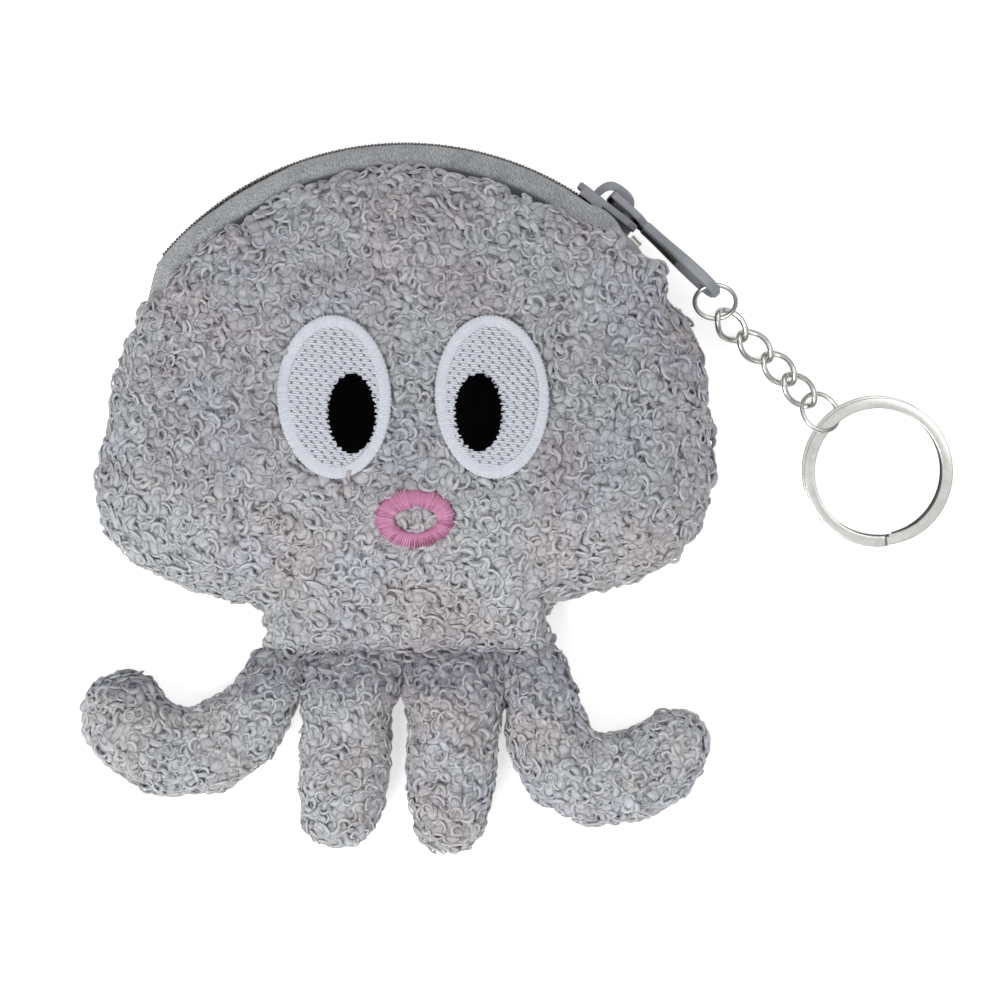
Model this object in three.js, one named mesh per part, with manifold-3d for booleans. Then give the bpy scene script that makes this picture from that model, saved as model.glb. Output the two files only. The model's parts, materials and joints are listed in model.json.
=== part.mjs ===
// Plush octopus coin purse with a curved zip, a twisted chain and a key ring, lying on its back.
// Millimetres, +Z up towards the face, +Y towards the top of the head, origin on the back panel's flat.
import * as THREE from 'three';
import { mergeVertices } from 'three/addons/utils/BufferGeometryUtils.js';
import Module from 'manifold-3d';

const wasm = await Module();
wasm.setup();

// Fits
const seamGap = 0.3;
const runningGap = 0.3;
const wireGap = 0.3;

// Head pouch
const plushWall = 2.2;
const liningWall = 0.6;
const liningEase = 1;
const liningLift = 0.6;
const liningNeckGap = 4;
const panelSides = 48;
const liningSides = 28;
const headCentre = new THREE.Vector2(0, -2);
const crownHeight = 23.5;
const flatDepth = 0.5;
const creaseY = -42;
const creaseHeight = 6.1;
const creaseGap = 0.7;
const neckLeft = -23.4;
const neckRight = 24.2;
const seamLevelY = 18;

// Cheeks from the zip's right end round the bottom to its left end, at the foot of the pile:
// degrees about the zip's centre, and reach as a share of the zip's radius
const rightCheek = [
  [36, 0.999], [26.5, 0.985], [17.9, 0.972], [8.3, 0.961], [-0.7, 0.961], [-8.6, 0.953],
  [-16.7, 0.913], [-23.9, 0.842], [-32.6, 0.724], [-42.6, 0.643],
];
const leftCheek = [
  [221.1, 0.662], [211.1, 0.756], [203.2, 0.857], [194.8, 0.939], [185.1, 0.966], [177.3, 0.945],
  [167.8, 0.921], [158.3, 0.933], [151.7, 0.95], [146.8, 0.973],
];
const neckRise = 5.3;
const neckPinch = 1.6;
const creaseSteps = 60;
const neckFade = [5, 14];
const creaseFade = [3, 12];

// Zip: its ridge is an arc, and its tapes fold down to the panels like a roof
const zipCentre = new THREE.Vector2(0, -10.4);
const zipRadius = 53.3;
const zipLevel = 7.6;
const zipLeft = 142;
const zipRight = 41.5;
const zipFade = 9;
const zipMargin = 1;
const tapeThickness = 0.5;
const tapeExposed = 4.7;
const tapeHidden = 3.5;
const frontTapeRise = 2.6;
const backTapeRise = 0.4;
const teethPitch = 1.1;
const teethThickness = 1.8;
const teethHalfWidth = 1.8;
const teethReach = 0.75;
const stopLength = 2;
const stopWall = 0.35;
const stopGrip = 1.2;

// Slider
const sliderAngle = 51.6;
const sliderLength = 12;
const sliderMouthWidth = 8;
const sliderTailWidth = 7;
const wingThickness = 1.25;
const flangeWall = 0.7;
const flangeShare = 0.45;
const wedgeWidth = 1.8;
const wedgeLength = 3;
const bridgeWidth = 1.9;
const bridgeBar = 1.3;
const bridgeLength = 7.4;
const bridgeRise = 3.7;
const bridgeShift = 0.3;

// Pull tab
const pullDroop = 4.4;
const pullLift = 0.52;
const pullLength = 21.6;
const pullBar = 1.35;
const pullFrameWidth = 5.2;
const pullEyeLength = 5.4;
const pullWaist = 3.4;
const pullBlade = 6.2;
const pullThickness = 1.7;
const pullHole = 2.3;

// Chain and key ring
const jumpWire = 0.7;
const jumpRadius = 3.45;
const linkWire = 0.85;
const linkHalfLength = 3.3;
const linkHalfWidth = 2.1;
const linkTwist = 45;
const keyRingRadius = 12.5;
const keyRingBand = 1.7;
const keyRingLeaf = 0.55;
const keyRingPitch = 0.68;
const keyRingSteps = 44;
const keyRingStepAngle = 0.5;
const keyRingEndGap = 0.12;
const wireSides = 6;
const wireSteps = 24;

// Tentacles: centreline x, y and half width at stations from the crease to the tip
const tentacleStations = [
  [[-20.8, creaseY, 3.2], [-23, -47.3, 4.7], [-26.2, -52.2, 5.8], [-30.3, -57.1, 6.1],
    [-35.9, -59.6, 6.3], [-42.2, -58, 6.4], [-46.6, -54, 6], [-47.4, -52, 5.8]],
  [[-8.4, creaseY, 6.8], [-9.2, -48.3, 7.2], [-9.8, -55, 7.1], [-10, -61.7, 7], [-10.4, -67.8, 6.2]],
  [[8.2, creaseY, 7], [8.3, -48.3, 7.4], [8, -56, 7.4], [7.5, -63, 7.1], [7.3, -69.3, 5.8]],
  [[21.4, creaseY, 3.5], [22.2, -47.8, 4.9], [23.4, -53, 6.1], [24.7, -58.7, 6.4],
    [29.2, -63.6, 6.5], [35.8, -64.2, 6.5], [41.3, -61.4, 6.2], [44.6, -57.8, 5.7]],
];
const tentacleHalfHeight = 6.6;
const tentacleRootHeight = 1.5;
const tentacleSwell = 9;
const tentacleWall = 1.6;
const tentacleThinning = 1.4;
const tipTurns = [30, 55, 75];
const hollowStart = 0.6;
const fillingStart = 0.7;

// Embroidery: centre x, y, half width, half height
const eyeTilt = 2.5;
const eyes = { left: [-11.75, 0.6, 9.3, 13.3], right: [14.5, 0.6, 9.3, 13.3] };
const pupils = { left: [-8.8, -2.2, 4.1, 6.6], right: [12.3, -2, 4, 6.4] };
const mouthOuter = [1.6, -19.8, 6.6, 4.8];
const mouthInner = [1.9, -20, 3.5, 2.1];
const eyeThickness = 0.8;
const pupilThickness = 0.5;
const mouthThickness = 1.2;

const rad = THREE.MathUtils.degToRad;
const smooth = (x, low, high) => THREE.MathUtils.smoothstep(x, low, high);

// Solids from stacked rings of points, closed at both ends or joined into a loop
function signedVolume(points, faces) {
  const cross = new THREE.Vector3();
  const part = ([a, b, c]) => cross.crossVectors(points[b], points[c]).dot(points[a]);
  return faces.reduce((sum, face) => sum + part(face), 0);
}

function solidFrom(points, faces) {
  const outward = signedVolume(points, faces) > 0;
  const geometry = new THREE.BufferGeometry();
  const places = points.flatMap((p) => p.toArray());
  geometry.setAttribute('position', new THREE.Float32BufferAttribute(places, 3));
  geometry.setIndex(faces.flatMap(([a, b, c]) => (outward ? [a, b, c] : [a, c, b])));
  geometry.computeVertexNormals();
  return geometry;
}

function sideFaces(count, sides, loop = false) {
  const faces = [];
  for (let k = 0; k < (loop ? count : count - 1); k += 1) {
    const low = k * sides;
    const high = ((k + 1) % count) * sides;
    for (let i = 0; i < sides; i += 1) {
      const j = (i + 1) % sides;
      faces.push([low + i, low + j, high + j], [low + i, high + j, high + i]);
    }
  }
  return faces;
}

function ringLoop(rings) {
  return solidFrom(rings.flat(), sideFaces(rings.length, rings[0].length, true));
}

// Rounded ends: each end ring closes on its own middle
function loft(rings) {
  const sides = rings[0].length;
  const points = rings.flat();
  const faces = sideFaces(rings.length, sides);
  [0, rings.length - 1].forEach((k) => {
    const hub = points.length;
    points.push(rings[k].reduce((sum, p) => sum.add(p), new THREE.Vector3()).divideScalar(sides));
    for (let i = 0; i < sides; i += 1) {
      const edge = [k * sides + i, k * sides + ((i + 1) % sides)];
      faces.push(k === 0 ? [hub, edge[1], edge[0]] : [hub, edge[0], edge[1]]);
    }
  });
  return solidFrom(points, faces);
}

// Flat ends: a section swept along a path, where a folded section caps itself
function flatCap(ring) {
  const origin = ring[0];
  const along = ring[1].clone().sub(origin).normalize();
  const normal = ring.reduce((sum, p, i) => sum.add(p.clone().sub(origin)
    .cross(ring[(i + 1) % ring.length].clone().sub(origin))), new THREE.Vector3()).normalize();
  const across = normal.clone().cross(along);
  const flat = ring.map((p) => {
    const offset = p.clone().sub(origin);
    return new THREE.Vector2(offset.dot(along), offset.dot(across));
  });
  return THREE.ShapeUtils.triangulateShape(flat, []);
}

function sweep(sections) {
  const sides = sections[0].length;
  const last = (sections.length - 1) * sides;
  const faces = sideFaces(sections.length, sides);
  flatCap(sections[0]).forEach(([a, b, c]) => faces.push([a, c, b]));
  flatCap(sections[sections.length - 1])
    .forEach(([a, b, c]) => faces.push([last + a, last + b, last + c]));
  return solidFrom(sections.flat(), faces);
}

// Joining and cutting
function toManifold(geometry) {
  const plain = geometry.clone();
  plain.deleteAttribute('normal');
  plain.deleteAttribute('uv');
  const merged = mergeVertices(plain, 1e-4);
  return new wasm.Manifold(new wasm.Mesh({
    numProp: 3,
    vertProperties: new Float32Array(merged.getAttribute('position').array),
    triVerts: new Uint32Array(merged.index.array),
  }));
}

function fromManifold(solid) {
  const mesh = solid.getMesh();
  const geometry = new THREE.BufferGeometry();
  geometry.setAttribute('position', new THREE.BufferAttribute(new Float32Array(mesh.vertProperties), 3));
  geometry.setIndex(new THREE.BufferAttribute(new Uint32Array(mesh.triVerts), 1));
  geometry.computeVertexNormals();
  return geometry;
}

function join(geometries) {
  const [first, ...others] = geometries.map(toManifold);
  return fromManifold(others.reduce((sum, solid) => sum.add(solid), first));
}

// Materials
const finish = (color, roughness, metalness = 0) => (
  new THREE.MeshStandardMaterial({ color, roughness, metalness }));
const plushMaterial = () => finish(0xa6a6aa, 0.95);
const liningMaterial = () => finish(0x9a9b9e, 0.9);
const tapeMaterial = () => finish(0x969a9b, 0.85);
const nylonMaterial = () => finish(0x8b8e91, 0.5);
const paintMaterial = () => finish(0x8a8d92, 0.4, 0.2);
const nickelMaterial = () => finish(0xc9c8c4, 0.3, 1);
const fillingMaterial = () => finish(0xf2f2ef, 1);
const threadMaterial = (color) => finish(color, 0.6);

const purse = new THREE.Group();

function addPiece(parent, name, geometry, material) {
  const mesh = new THREE.Mesh(geometry, material);
  mesh.name = name;
  parent.add(mesh);
  return mesh;
}

// Head outline: the zip's arc, then each cheek as a smooth curve down to the straight crease
const arcPoint = (angle, share = 1) => new THREE.Vector2(
  zipCentre.x + share * zipRadius * Math.cos(rad(angle)),
  zipCentre.y + share * zipRadius * Math.sin(rad(angle)),
);
const creaseEdge = creaseY + creaseGap;
const neckCorner = (x, rise = 0) => new THREE.Vector2(x, creaseEdge + rise);

function headOutline() {
  const curve = (points) => new THREE.SplineCurve(points).getPoints(80);
  const cheek = (points) => points.map(([angle, share]) => arcPoint(angle, share));
  const right = curve([
    arcPoint(zipRight), ...cheek(rightCheek), neckCorner(neckRight - neckPinch, neckRise),
    neckCorner(neckRight),
  ]);
  const left = curve([
    neckCorner(neckLeft), neckCorner(neckLeft + neckPinch, neckRise), ...cheek(leftCheek),
    arcPoint(zipLeft),
  ]);
  const arc = [];
  for (let angle = zipLeft; angle > zipRight; angle -= 0.5) arc.push(arcPoint(angle));
  const crease = [];
  for (let i = 1; i < creaseSteps; i += 1) {
    crease.push(neckCorner(neckRight).lerp(neckCorner(neckLeft), i / creaseSteps));
  }
  return [...right, ...crease, ...left, ...arc];
}

const directionTo = (point) => Math.atan2(point.y - headCentre.y, point.x - headCentre.x);
const outlinePolar = headOutline()
  .map((point) => ({ angle: directionTo(point), reach: point.distanceTo(headCentre) }))
  .sort((a, b) => a.angle - b.angle);

function outlineReach(angle) {
  const turned = Math.atan2(Math.sin(angle), Math.cos(angle));
  const after = outlinePolar.findIndex((p) => p.angle > turned);
  const count = outlinePolar.length;
  const high = outlinePolar[after < 0 ? 0 : after];
  const low = outlinePolar[(after < 0 ? count : after + count - 1) % count];
  const span = (high.angle - low.angle + 2 * Math.PI) % (2 * Math.PI);
  const share = ((turned - low.angle + 2 * Math.PI) % (2 * Math.PI)) / (span || 1);
  return THREE.MathUtils.lerp(low.reach, high.reach, share);
}

// How far a place round the head belongs to the zip: 1 along the tapes, 0 at the side seams
function zipShare(point) {
  const angle = THREE.MathUtils.radToDeg(Math.atan2(point.y - zipCentre.y, point.x - zipCentre.x));
  const right = smooth(angle, zipRight - zipFade, zipRight - zipMargin);
  return right * (1 - smooth(angle, zipLeft + zipMargin, zipLeft + zipFade));
}

const seamHeight = (y) => THREE.MathUtils.lerp(creaseHeight, zipLevel, smooth(y, creaseY, seamLevelY));

function edgePoint(angle, zipInset, inset) {
  const reach = outlineReach(angle);
  const rim = new THREE.Vector2(Math.cos(angle), Math.sin(angle)).multiplyScalar(reach).add(headCentre);
  const share = zipShare(rim);
  const inward = zipCentre.clone().sub(rim).normalize();
  const moved = rim.clone().addScaledVector(inward, zipInset * share);
  const centreward = headCentre.clone().sub(moved).normalize();
  return { point: moved.addScaledVector(centreward, inset), share, base: rim };
}

// Directions round the head: even steps between the zip's ends and the crease's corners
const corners = [
  directionTo(neckCorner(neckRight)),
  directionTo(arcPoint(zipRight - zipMargin)),
  directionTo(arcPoint(zipLeft + zipMargin)),
  directionTo(neckCorner(neckLeft)) + 2 * Math.PI,
  directionTo(neckCorner(neckRight)) + 2 * Math.PI,
];

function headDirections(sides) {
  const angles = [];
  corners.slice(1).forEach((end, i) => {
    const start = corners[i];
    const steps = Math.round((sides * (end - start)) / (2 * Math.PI));
    for (let k = 0; k < steps; k += 1) angles.push(THREE.MathUtils.lerp(start, end, k / steps));
  });
  return angles;
}

// Heights where the panels meet the folded tapes
const tapeTurn = sliderMouthWidth / 2 + runningGap;
const frontShelf = zipLevel + tapeTurn + frontTapeRise;
const backShelf = zipLevel - tapeTurn - backTapeRise;

// One bowl of the pouch. side is 1 for the face and -1 for the back
function bowlSurface({ side, zipInset, inset, neckInset = 0, shelf, crown, ring, angles, seamOffset }) {
  const fullness = side > 0 ? 2.6 : 5;
  return angles.map((angle) => {
    const rimY = headCentre.y + outlineReach(angle) * Math.sin(angle);
    const neck = neckInset * (1 - smooth(rimY, creaseY + neckFade[0], creaseY + neckFade[1]));
    const { point, share, base } = edgePoint(angle, zipInset, inset + neck);
    const rim = THREE.MathUtils.lerp(seamHeight(base.y) + side * seamOffset, shelf, share);
    const place = headCentre.clone().lerp(point, ring);
    const nearCrease = 1 - smooth(base.y, creaseY + creaseFade[0], creaseY + creaseFade[1]);
    const power = THREE.MathUtils.lerp(0.5, 0.87, nearCrease);
    const rise = Math.pow(Math.max(0, 1 - Math.pow(ring, fullness)), power);
    const height = rim + (crown - rim) * rise;
    return new THREE.Vector3(place.x, place.y, Math.max(height, 0));
  });
}

function bowl({ side, zipInset, inset, neckInset, shelf, crown, wall, ringShares, sides, floor = 0 }) {
  const angles = headDirections(sides);
  const outer = { side, zipInset, inset, neckInset, shelf, crown, angles, seamOffset: seamGap / 2 };
  const inner = { ...outer, inset: inset + wall, crown: crown - side * wall };
  const lift = (points, low) => points.map((p) => p.setZ(Math.max(p.z, low)));
  const outerRings = ringShares.map((ring) => lift(bowlSurface({ ...outer, ring }), floor));
  const innerRings = ringShares.map((ring) => lift(bowlSurface({ ...inner, ring }), floor + wall));
  return loft([...outerRings, ...innerRings.reverse()]);
}

const panelRings = [0.4, 0.68, 0.85, 0.945, 0.985, 1];
const liningRings = [0.55, 0.85, 0.97, 1];
const frontRim = frontShelf + tapeThickness + seamGap;
const backRim = backShelf - tapeThickness - seamGap;
const frontPanel = {
  side: 1, zipInset: tapeExposed, inset: 0, shelf: frontRim, crown: crownHeight, wall: plushWall,
  sides: panelSides,
};
const backPanel = { ...frontPanel, side: -1, shelf: backRim, crown: -flatDepth };
addPiece(purse, 'front_panel', bowl({ ...frontPanel, ringShares: panelRings }), plushMaterial());
addPiece(purse, 'back_panel', bowl({ ...backPanel, ringShares: panelRings }), plushMaterial());

const liningInset = plushWall + liningEase;
const liningZipInset = tapeExposed + tapeHidden + seamGap - liningInset;
addPiece(purse, 'front_lining', bowl({
  side: 1,
  zipInset: liningZipInset,
  inset: liningInset,
  neckInset: liningNeckGap,
  shelf: frontShelf,
  crown: crownHeight - plushWall - liningEase,
  wall: liningWall,
  ringShares: liningRings,
  sides: liningSides,
}), liningMaterial());
addPiece(purse, 'back_lining', bowl({
  side: -1,
  zipInset: liningZipInset,
  inset: liningInset,
  neckInset: liningNeckGap,
  shelf: backShelf,
  crown: plushWall + liningLift,
  wall: liningWall,
  ringShares: liningRings,
  sides: liningSides,
  floor: plushWall + liningLift,
}), liningMaterial());

// A piece of the zip: a section of radius and height turned about the arc's centre
function turnedPoint(angle, radius, height) {
  return new THREE.Vector3(
    zipCentre.x + radius * Math.cos(angle),
    zipCentre.y + radius * Math.sin(angle),
    height,
  );
}

function arcSolid(section, from, to, steps) {
  const sections = Array.from({ length: steps + 1 }, (_, k) => {
    const angle = rad(THREE.MathUtils.lerp(from, to, k / steps));
    return section.map(([radius, height]) => turnedPoint(angle, radius, height));
  });
  return sweep(sections);
}

const teethMid = zipRadius - teethThickness / 2;
const tapeOuter = teethMid + tapeThickness / 2;
const tapeInner = teethMid - tapeThickness / 2;
const tapeEdge = teethHalfWidth + seamGap;

function tapeSection(side, shelf) {
  const turn = zipLevel + side * tapeTurn;
  const foldRadius = zipRadius - tapeExposed;
  const tapeEnd = foldRadius - tapeHidden;
  return [
    [tapeOuter, zipLevel + side * tapeEdge],
    [tapeOuter, turn],
    [tapeOuter - tapeThickness, turn + side * tapeThickness],
    [foldRadius, shelf + side * tapeThickness],
    [tapeEnd, shelf + side * tapeThickness],
    [tapeEnd, shelf],
    [foldRadius, shelf],
    [tapeInner, turn],
    [tapeInner, zipLevel + side * tapeEdge],
  ];
}

const tapeSteps = 28;
const frontTape = arcSolid(tapeSection(1, frontShelf), zipLeft, zipRight, tapeSteps);
const backTape = arcSolid(tapeSection(-1, backShelf), zipLeft, zipRight, tapeSteps);
addPiece(purse, 'front_tape', frontTape, tapeMaterial());
addPiece(purse, 'back_tape', backTape, tapeMaterial());

// Teeth: each half zigzags across the middle and the other follows it one gap away
const arcDegrees = (length) => THREE.MathUtils.radToDeg(length / zipRadius);
const teethStart = zipLeft - arcDegrees(stopLength + 2 * seamGap);
const wedgeTail = sliderLength / 2 - wedgeLength;
const teethEnd = sliderAngle - arcDegrees(wedgeTail - runningGap - seamGap);

function teethHalf(side) {
  const count = 2 * Math.floor(((teethStart - teethEnd) * Math.PI * zipRadius) / (180 * teethPitch));
  const inner = zipRadius - teethThickness;
  const sections = Array.from({ length: count + 1 }, (_, k) => {
    const angle = rad(THREE.MathUtils.lerp(teethStart, teethEnd, k / count));
    const lean = (k % 2 === 0 ? 1 : -1) * teethReach;
    const edge = zipLevel + lean + side * (seamGap / 2);
    const back = zipLevel + side * teethHalfWidth;
    const section = [[inner, back], [inner, edge], [zipRadius, edge], [zipRadius, back]];
    return section.map(([radius, height]) => turnedPoint(angle, radius, height));
  });
  return sweep(sections);
}

addPiece(purse, 'front_teeth', teethHalf(1), nylonMaterial());
addPiece(purse, 'back_teeth', teethHalf(-1), nylonMaterial());

const bottomStop = [
  [zipRadius - teethThickness, zipLevel - teethHalfWidth], [zipRadius, zipLevel - teethHalfWidth],
  [zipRadius, zipLevel + teethHalfWidth], [zipRadius - teethThickness, zipLevel + teethHalfWidth],
];
addPiece(purse, 'bottom_stop', arcSolid(bottomStop, zipLeft - arcDegrees(seamGap),
  zipLeft - arcDegrees(stopLength + seamGap), 2), nylonMaterial());

// Top stops: a clip round each tape's edge, just past the closed slider's mouth
function topStop(side) {
  const level = (offset) => zipLevel + side * offset;
  const outer = tapeOuter + seamGap + stopWall;
  const inner = tapeInner - seamGap - stopWall;
  const crown = tapeEdge - seamGap;
  const section = [
    [inner, level(crown - stopWall)], [outer, level(crown - stopWall)], [outer, level(crown + stopGrip)],
    [outer - stopWall, level(crown + stopGrip)], [outer - stopWall, level(crown)],
    [inner + stopWall, level(crown)], [inner + stopWall, level(crown + stopGrip)],
    [inner, level(crown + stopGrip)],
  ];
  const start = sliderAngle - arcDegrees(sliderLength / 2 + seamGap);
  return arcSolid(section, start, start - arcDegrees(stopLength), 2);
}

addPiece(purse, 'front_top_stop', topStop(1), nickelMaterial());
addPiece(purse, 'back_top_stop', topStop(-1), nickelMaterial());

// Slider, drawn with x along the zip to its mouth, y outwards and z across
const bow = sliderLength ** 2 / (8 * zipRadius);
const upperWing = runningGap;
const lowerWing = -teethThickness - runningGap - bow;
const tapeTop = tapeOuter - zipRadius + runningGap;
const tapeBottom = tapeInner - zipRadius - runningGap - bow;

function slab(plan, low, high, bevel = 0.2) {
  const shape = new THREE.Shape(plan.map(([x, z]) => new THREE.Vector2(x, z)));
  const geometry = new THREE.ExtrudeGeometry(shape, {
    depth: high - low - 2 * bevel, bevelEnabled: bevel > 0, bevelThickness: bevel, bevelSize: bevel,
    bevelOffset: -bevel, bevelSegments: 1, curveSegments: 6,
  });
  geometry.translate(0, 0, low + bevel);
  geometry.rotateX(-Math.PI / 2);
  return geometry;
}

function wingPlan() {
  const half = sliderLength / 2;
  const mouth = sliderMouthWidth / 2;
  const tail = sliderTailWidth / 2;
  return [
    [-half, -tail + 1.4], [-half + 1.2, -tail], [0.5, -tail], [2.4, -mouth], [half - 1.4, -mouth],
    [half, -mouth + 1.6], [half, mouth - 1.6], [half - 1.4, mouth], [2.4, mouth], [0.5, tail],
    [-half + 1.2, tail], [-half, tail - 1.4],
  ];
}

function flangePlan(side) {
  const start = -sliderLength / 2 + 1;
  const end = start + sliderLength * flangeShare - 1;
  const outer = sliderTailWidth / 2;
  const inner = outer - flangeWall;
  return [[start, side * outer], [end, side * outer], [end, side * inner], [start, side * inner]];
}

function bridgeSolid() {
  const foot = bridgeLength / 2;
  const root = upperWing + wingThickness / 2;
  const top = upperWing + wingThickness + bridgeRise;
  const arch = (reach, height) => {
    const shape = new THREE.Shape();
    shape.moveTo(-reach, root);
    shape.bezierCurveTo(-reach, height * 0.92, -reach * 0.55, height, 0, height);
    shape.bezierCurveTo(reach * 0.55, height, reach, height * 0.92, reach, root);
    return shape;
  };
  const outer = arch(foot, top).getPoints(7);
  const inner = arch(foot - bridgeBar, top - bridgeBar).getPoints(7).reverse();
  const shape = new THREE.Shape([...outer, ...inner]);
  const geometry = new THREE.ExtrudeGeometry(shape, { depth: bridgeWidth, bevelEnabled: false });
  geometry.translate(bridgeShift, 0, -bridgeWidth / 2);
  return geometry;
}

function sliderSolid() {
  const wedge = wedgeWidth / 2;
  const nose = sliderLength / 2 - 0.4;
  const tail = nose - wedgeLength;
  const wedgePlan = [
    [tail, -0.3], [tail + 1.2, -wedge], [nose, -wedge], [nose, wedge], [tail + 1.2, wedge], [tail, 0.3],
  ];
  return join([
    slab(wingPlan(), upperWing, upperWing + wingThickness),
    slab(wingPlan(), lowerWing - wingThickness, lowerWing),
    slab(flangePlan(1), tapeTop, upperWing + wingThickness / 2, 0),
    slab(flangePlan(-1), tapeTop, upperWing + wingThickness / 2, 0),
    slab(flangePlan(1), lowerWing - wingThickness / 2, tapeBottom, 0),
    slab(flangePlan(-1), lowerWing - wingThickness / 2, tapeBottom, 0),
    slab(wedgePlan, lowerWing - wingThickness / 2, upperWing + wingThickness / 2, 0),
    bridgeSolid(),
  ]);
}

const slider = new THREE.Group();
slider.position.set(
  zipCentre.x + zipRadius * Math.cos(rad(sliderAngle)),
  zipCentre.y + zipRadius * Math.sin(rad(sliderAngle)),
  zipLevel,
);
slider.rotation.z = rad(sliderAngle - 90);
purse.add(slider);
addPiece(slider, 'slider', sliderSolid(), paintMaterial());

// Pull: a frame round the bridge, a waist and a blade with the ring's hole, flat across z
function pullSolid() {
  const frame = pullFrameWidth / 2;
  const waist = pullWaist / 2;
  const blade = pullBlade / 2;
  const eye = bridgeWidth / 2 + runningGap;
  const bar = pullBar / 2;
  const eyeEnd = pullEyeLength - bar;
  const neckStart = 2.2;
  const neckEnd = 3;
  const sweep = 7;
  const shoulder = 3;
  const head = new THREE.Shape([
    [-bar, -frame + 0.8], [-bar + 0.5, -frame], [eyeEnd + 0.8, -frame], [eyeEnd + neckStart, -waist],
    [eyeEnd + neckEnd, -waist], [eyeEnd + neckEnd, waist], [eyeEnd + neckStart, waist],
    [eyeEnd + 0.8, frame],
    [-bar + 0.5, frame], [-bar, frame - 0.8],
  ].map(([x, z]) => new THREE.Vector2(x, z)));
  head.holes.push(new THREE.Path([
    [bar, -eye], [bar, eye], [eyeEnd - 0.4, eye], [eyeEnd, eye - 0.4], [eyeEnd, -eye + 0.4],
    [eyeEnd - 0.4, -eye],
  ].map(([x, z]) => new THREE.Vector2(x, z))));
  const body = new THREE.Shape();
  const far = pullLength + pullHole / 2 + 1.1;
  body.moveTo(eyeEnd + neckStart + 0.1, -waist);
  body.lineTo(eyeEnd + neckEnd, -waist);
  body.bezierCurveTo(eyeEnd + sweep, -waist, pullLength - sweep, -blade, pullLength - shoulder, -blade);
  body.bezierCurveTo(pullLength - 1, -blade, far, -blade * 0.9, far, 0);
  body.bezierCurveTo(far, blade * 0.9, pullLength - 1, blade, pullLength - shoulder, blade);
  body.bezierCurveTo(pullLength - sweep, blade, eyeEnd + sweep, waist, eyeEnd + neckEnd, waist);
  body.lineTo(eyeEnd + neckStart + 0.1, waist);
  const hole = new THREE.Path();
  hole.absarc(pullLength, 0, pullHole / 2, 0, 2 * Math.PI, true);
  body.holes.push(hole);
  const plate = (shape, thickness, bevel) => {
    const geometry = new THREE.ExtrudeGeometry(shape, {
      depth: thickness - 2 * bevel, bevelEnabled: true, bevelThickness: bevel, bevelSize: bevel,
      bevelOffset: -bevel, bevelSegments: 1, curveSegments: 5,
    });
    geometry.translate(0, 0, bevel - thickness / 2);
    geometry.rotateX(-Math.PI / 2);
    return geometry;
  };
  return join([plate(head, pullBar, 0.2), plate(body, pullThickness, 0.3)]);
}

const pull = new THREE.Group();
const pullPivot = new THREE.Vector3(-0.2, upperWing + wingThickness + pullBar / 2 + pullLift, 0);
pull.position.copy(pullPivot);
pull.rotation.z = -rad(pullDroop);
slider.add(pull);
addPiece(pull, 'pull_tab', pullSolid(), paintMaterial());

// Wire rings: centreline points with a round section that follows them
function wireLoop(centreline, wire) {
  const count = centreline.length;
  const middle = centreline.reduce((sum, p) => sum.add(p), new THREE.Vector3()).divideScalar(count);
  const rings = centreline.map((p, k) => {
    const ahead = centreline[(k + 1) % count];
    const behind = centreline[(k + count - 1) % count];
    const tangent = ahead.clone().sub(behind).normalize();
    const outward = p.clone().sub(middle);
    outward.addScaledVector(tangent, -outward.dot(tangent)).normalize();
    const across = tangent.clone().cross(outward);
    return Array.from({ length: wireSides }, (_, i) => {
      const turn = (2 * Math.PI * i) / wireSides;
      return p.clone()
        .addScaledVector(outward, (wire / 2) * Math.cos(turn))
        .addScaledVector(across, (wire / 2) * Math.sin(turn));
    });
  });
  return ringLoop(rings);
}

function jumpRing() {
  const points = Array.from({ length: wireSteps }, (_, k) => {
    const turn = (2 * Math.PI * k) / wireSteps;
    return new THREE.Vector3(jumpRadius * Math.cos(turn), jumpRadius * Math.sin(turn), 0);
  });
  return wireLoop(points, jumpWire);
}

function curbLink() {
  const points = Array.from({ length: wireSteps }, (_, k) => {
    const turn = (2 * Math.PI * k) / wireSteps;
    const along = linkHalfLength * Math.cos(turn);
    const across = linkHalfWidth * Math.sin(turn);
    const twist = rad(linkTwist) * Math.cos(turn);
    return new THREE.Vector3(along, across * Math.cos(twist), across * Math.sin(twist));
  });
  return wireLoop(points, linkWire);
}

// Split ring: two flat leaves of one strip, with the step between them at one place
function keyRing() {
  const turns = 2;
  const total = 2 * Math.PI * turns - keyRingEndGap;
  const sections = Array.from({ length: turns * keyRingSteps + 1 }, (_, k) => {
    const turn = (total * k) / (turns * keyRingSteps);
    const rise = smooth(turn, total / 2 - keyRingStepAngle, total / 2 + keyRingStepAngle) * keyRingPitch;
    const low = rise - (keyRingPitch + keyRingLeaf) / 2;
    const inner = keyRingRadius - keyRingBand;
    const high = low + keyRingLeaf;
    const out = new THREE.Vector3(Math.cos(turn), Math.sin(turn), 0);
    return [[inner, low], [keyRingRadius, low], [keyRingRadius, high], [inner, high]]
      .map(([radius, height]) => out.clone().multiplyScalar(radius).setZ(height));
  });
  return sweep(sections);
}

// The chain leaves the pull's hole, comes down to the table and lies along it: heading and slope
const ringHeading = [-64, -34];
const ringRoll = 16;
const linkHeadings = [[-57, -32], [-40, -12], [-42, -4], [-46.5, 0]];
const linkTilts = [[-48, -22], [-41, -7], [-44, -2], [-47, 2]];
const lastHeading = [-46.5, 11];
const lastRoll = -37;
const lastSlack = 0.5;
const keyHeading = [-46, -3.5];
const keyReach = 1.9;
const keyStepAt = -40;

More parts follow.
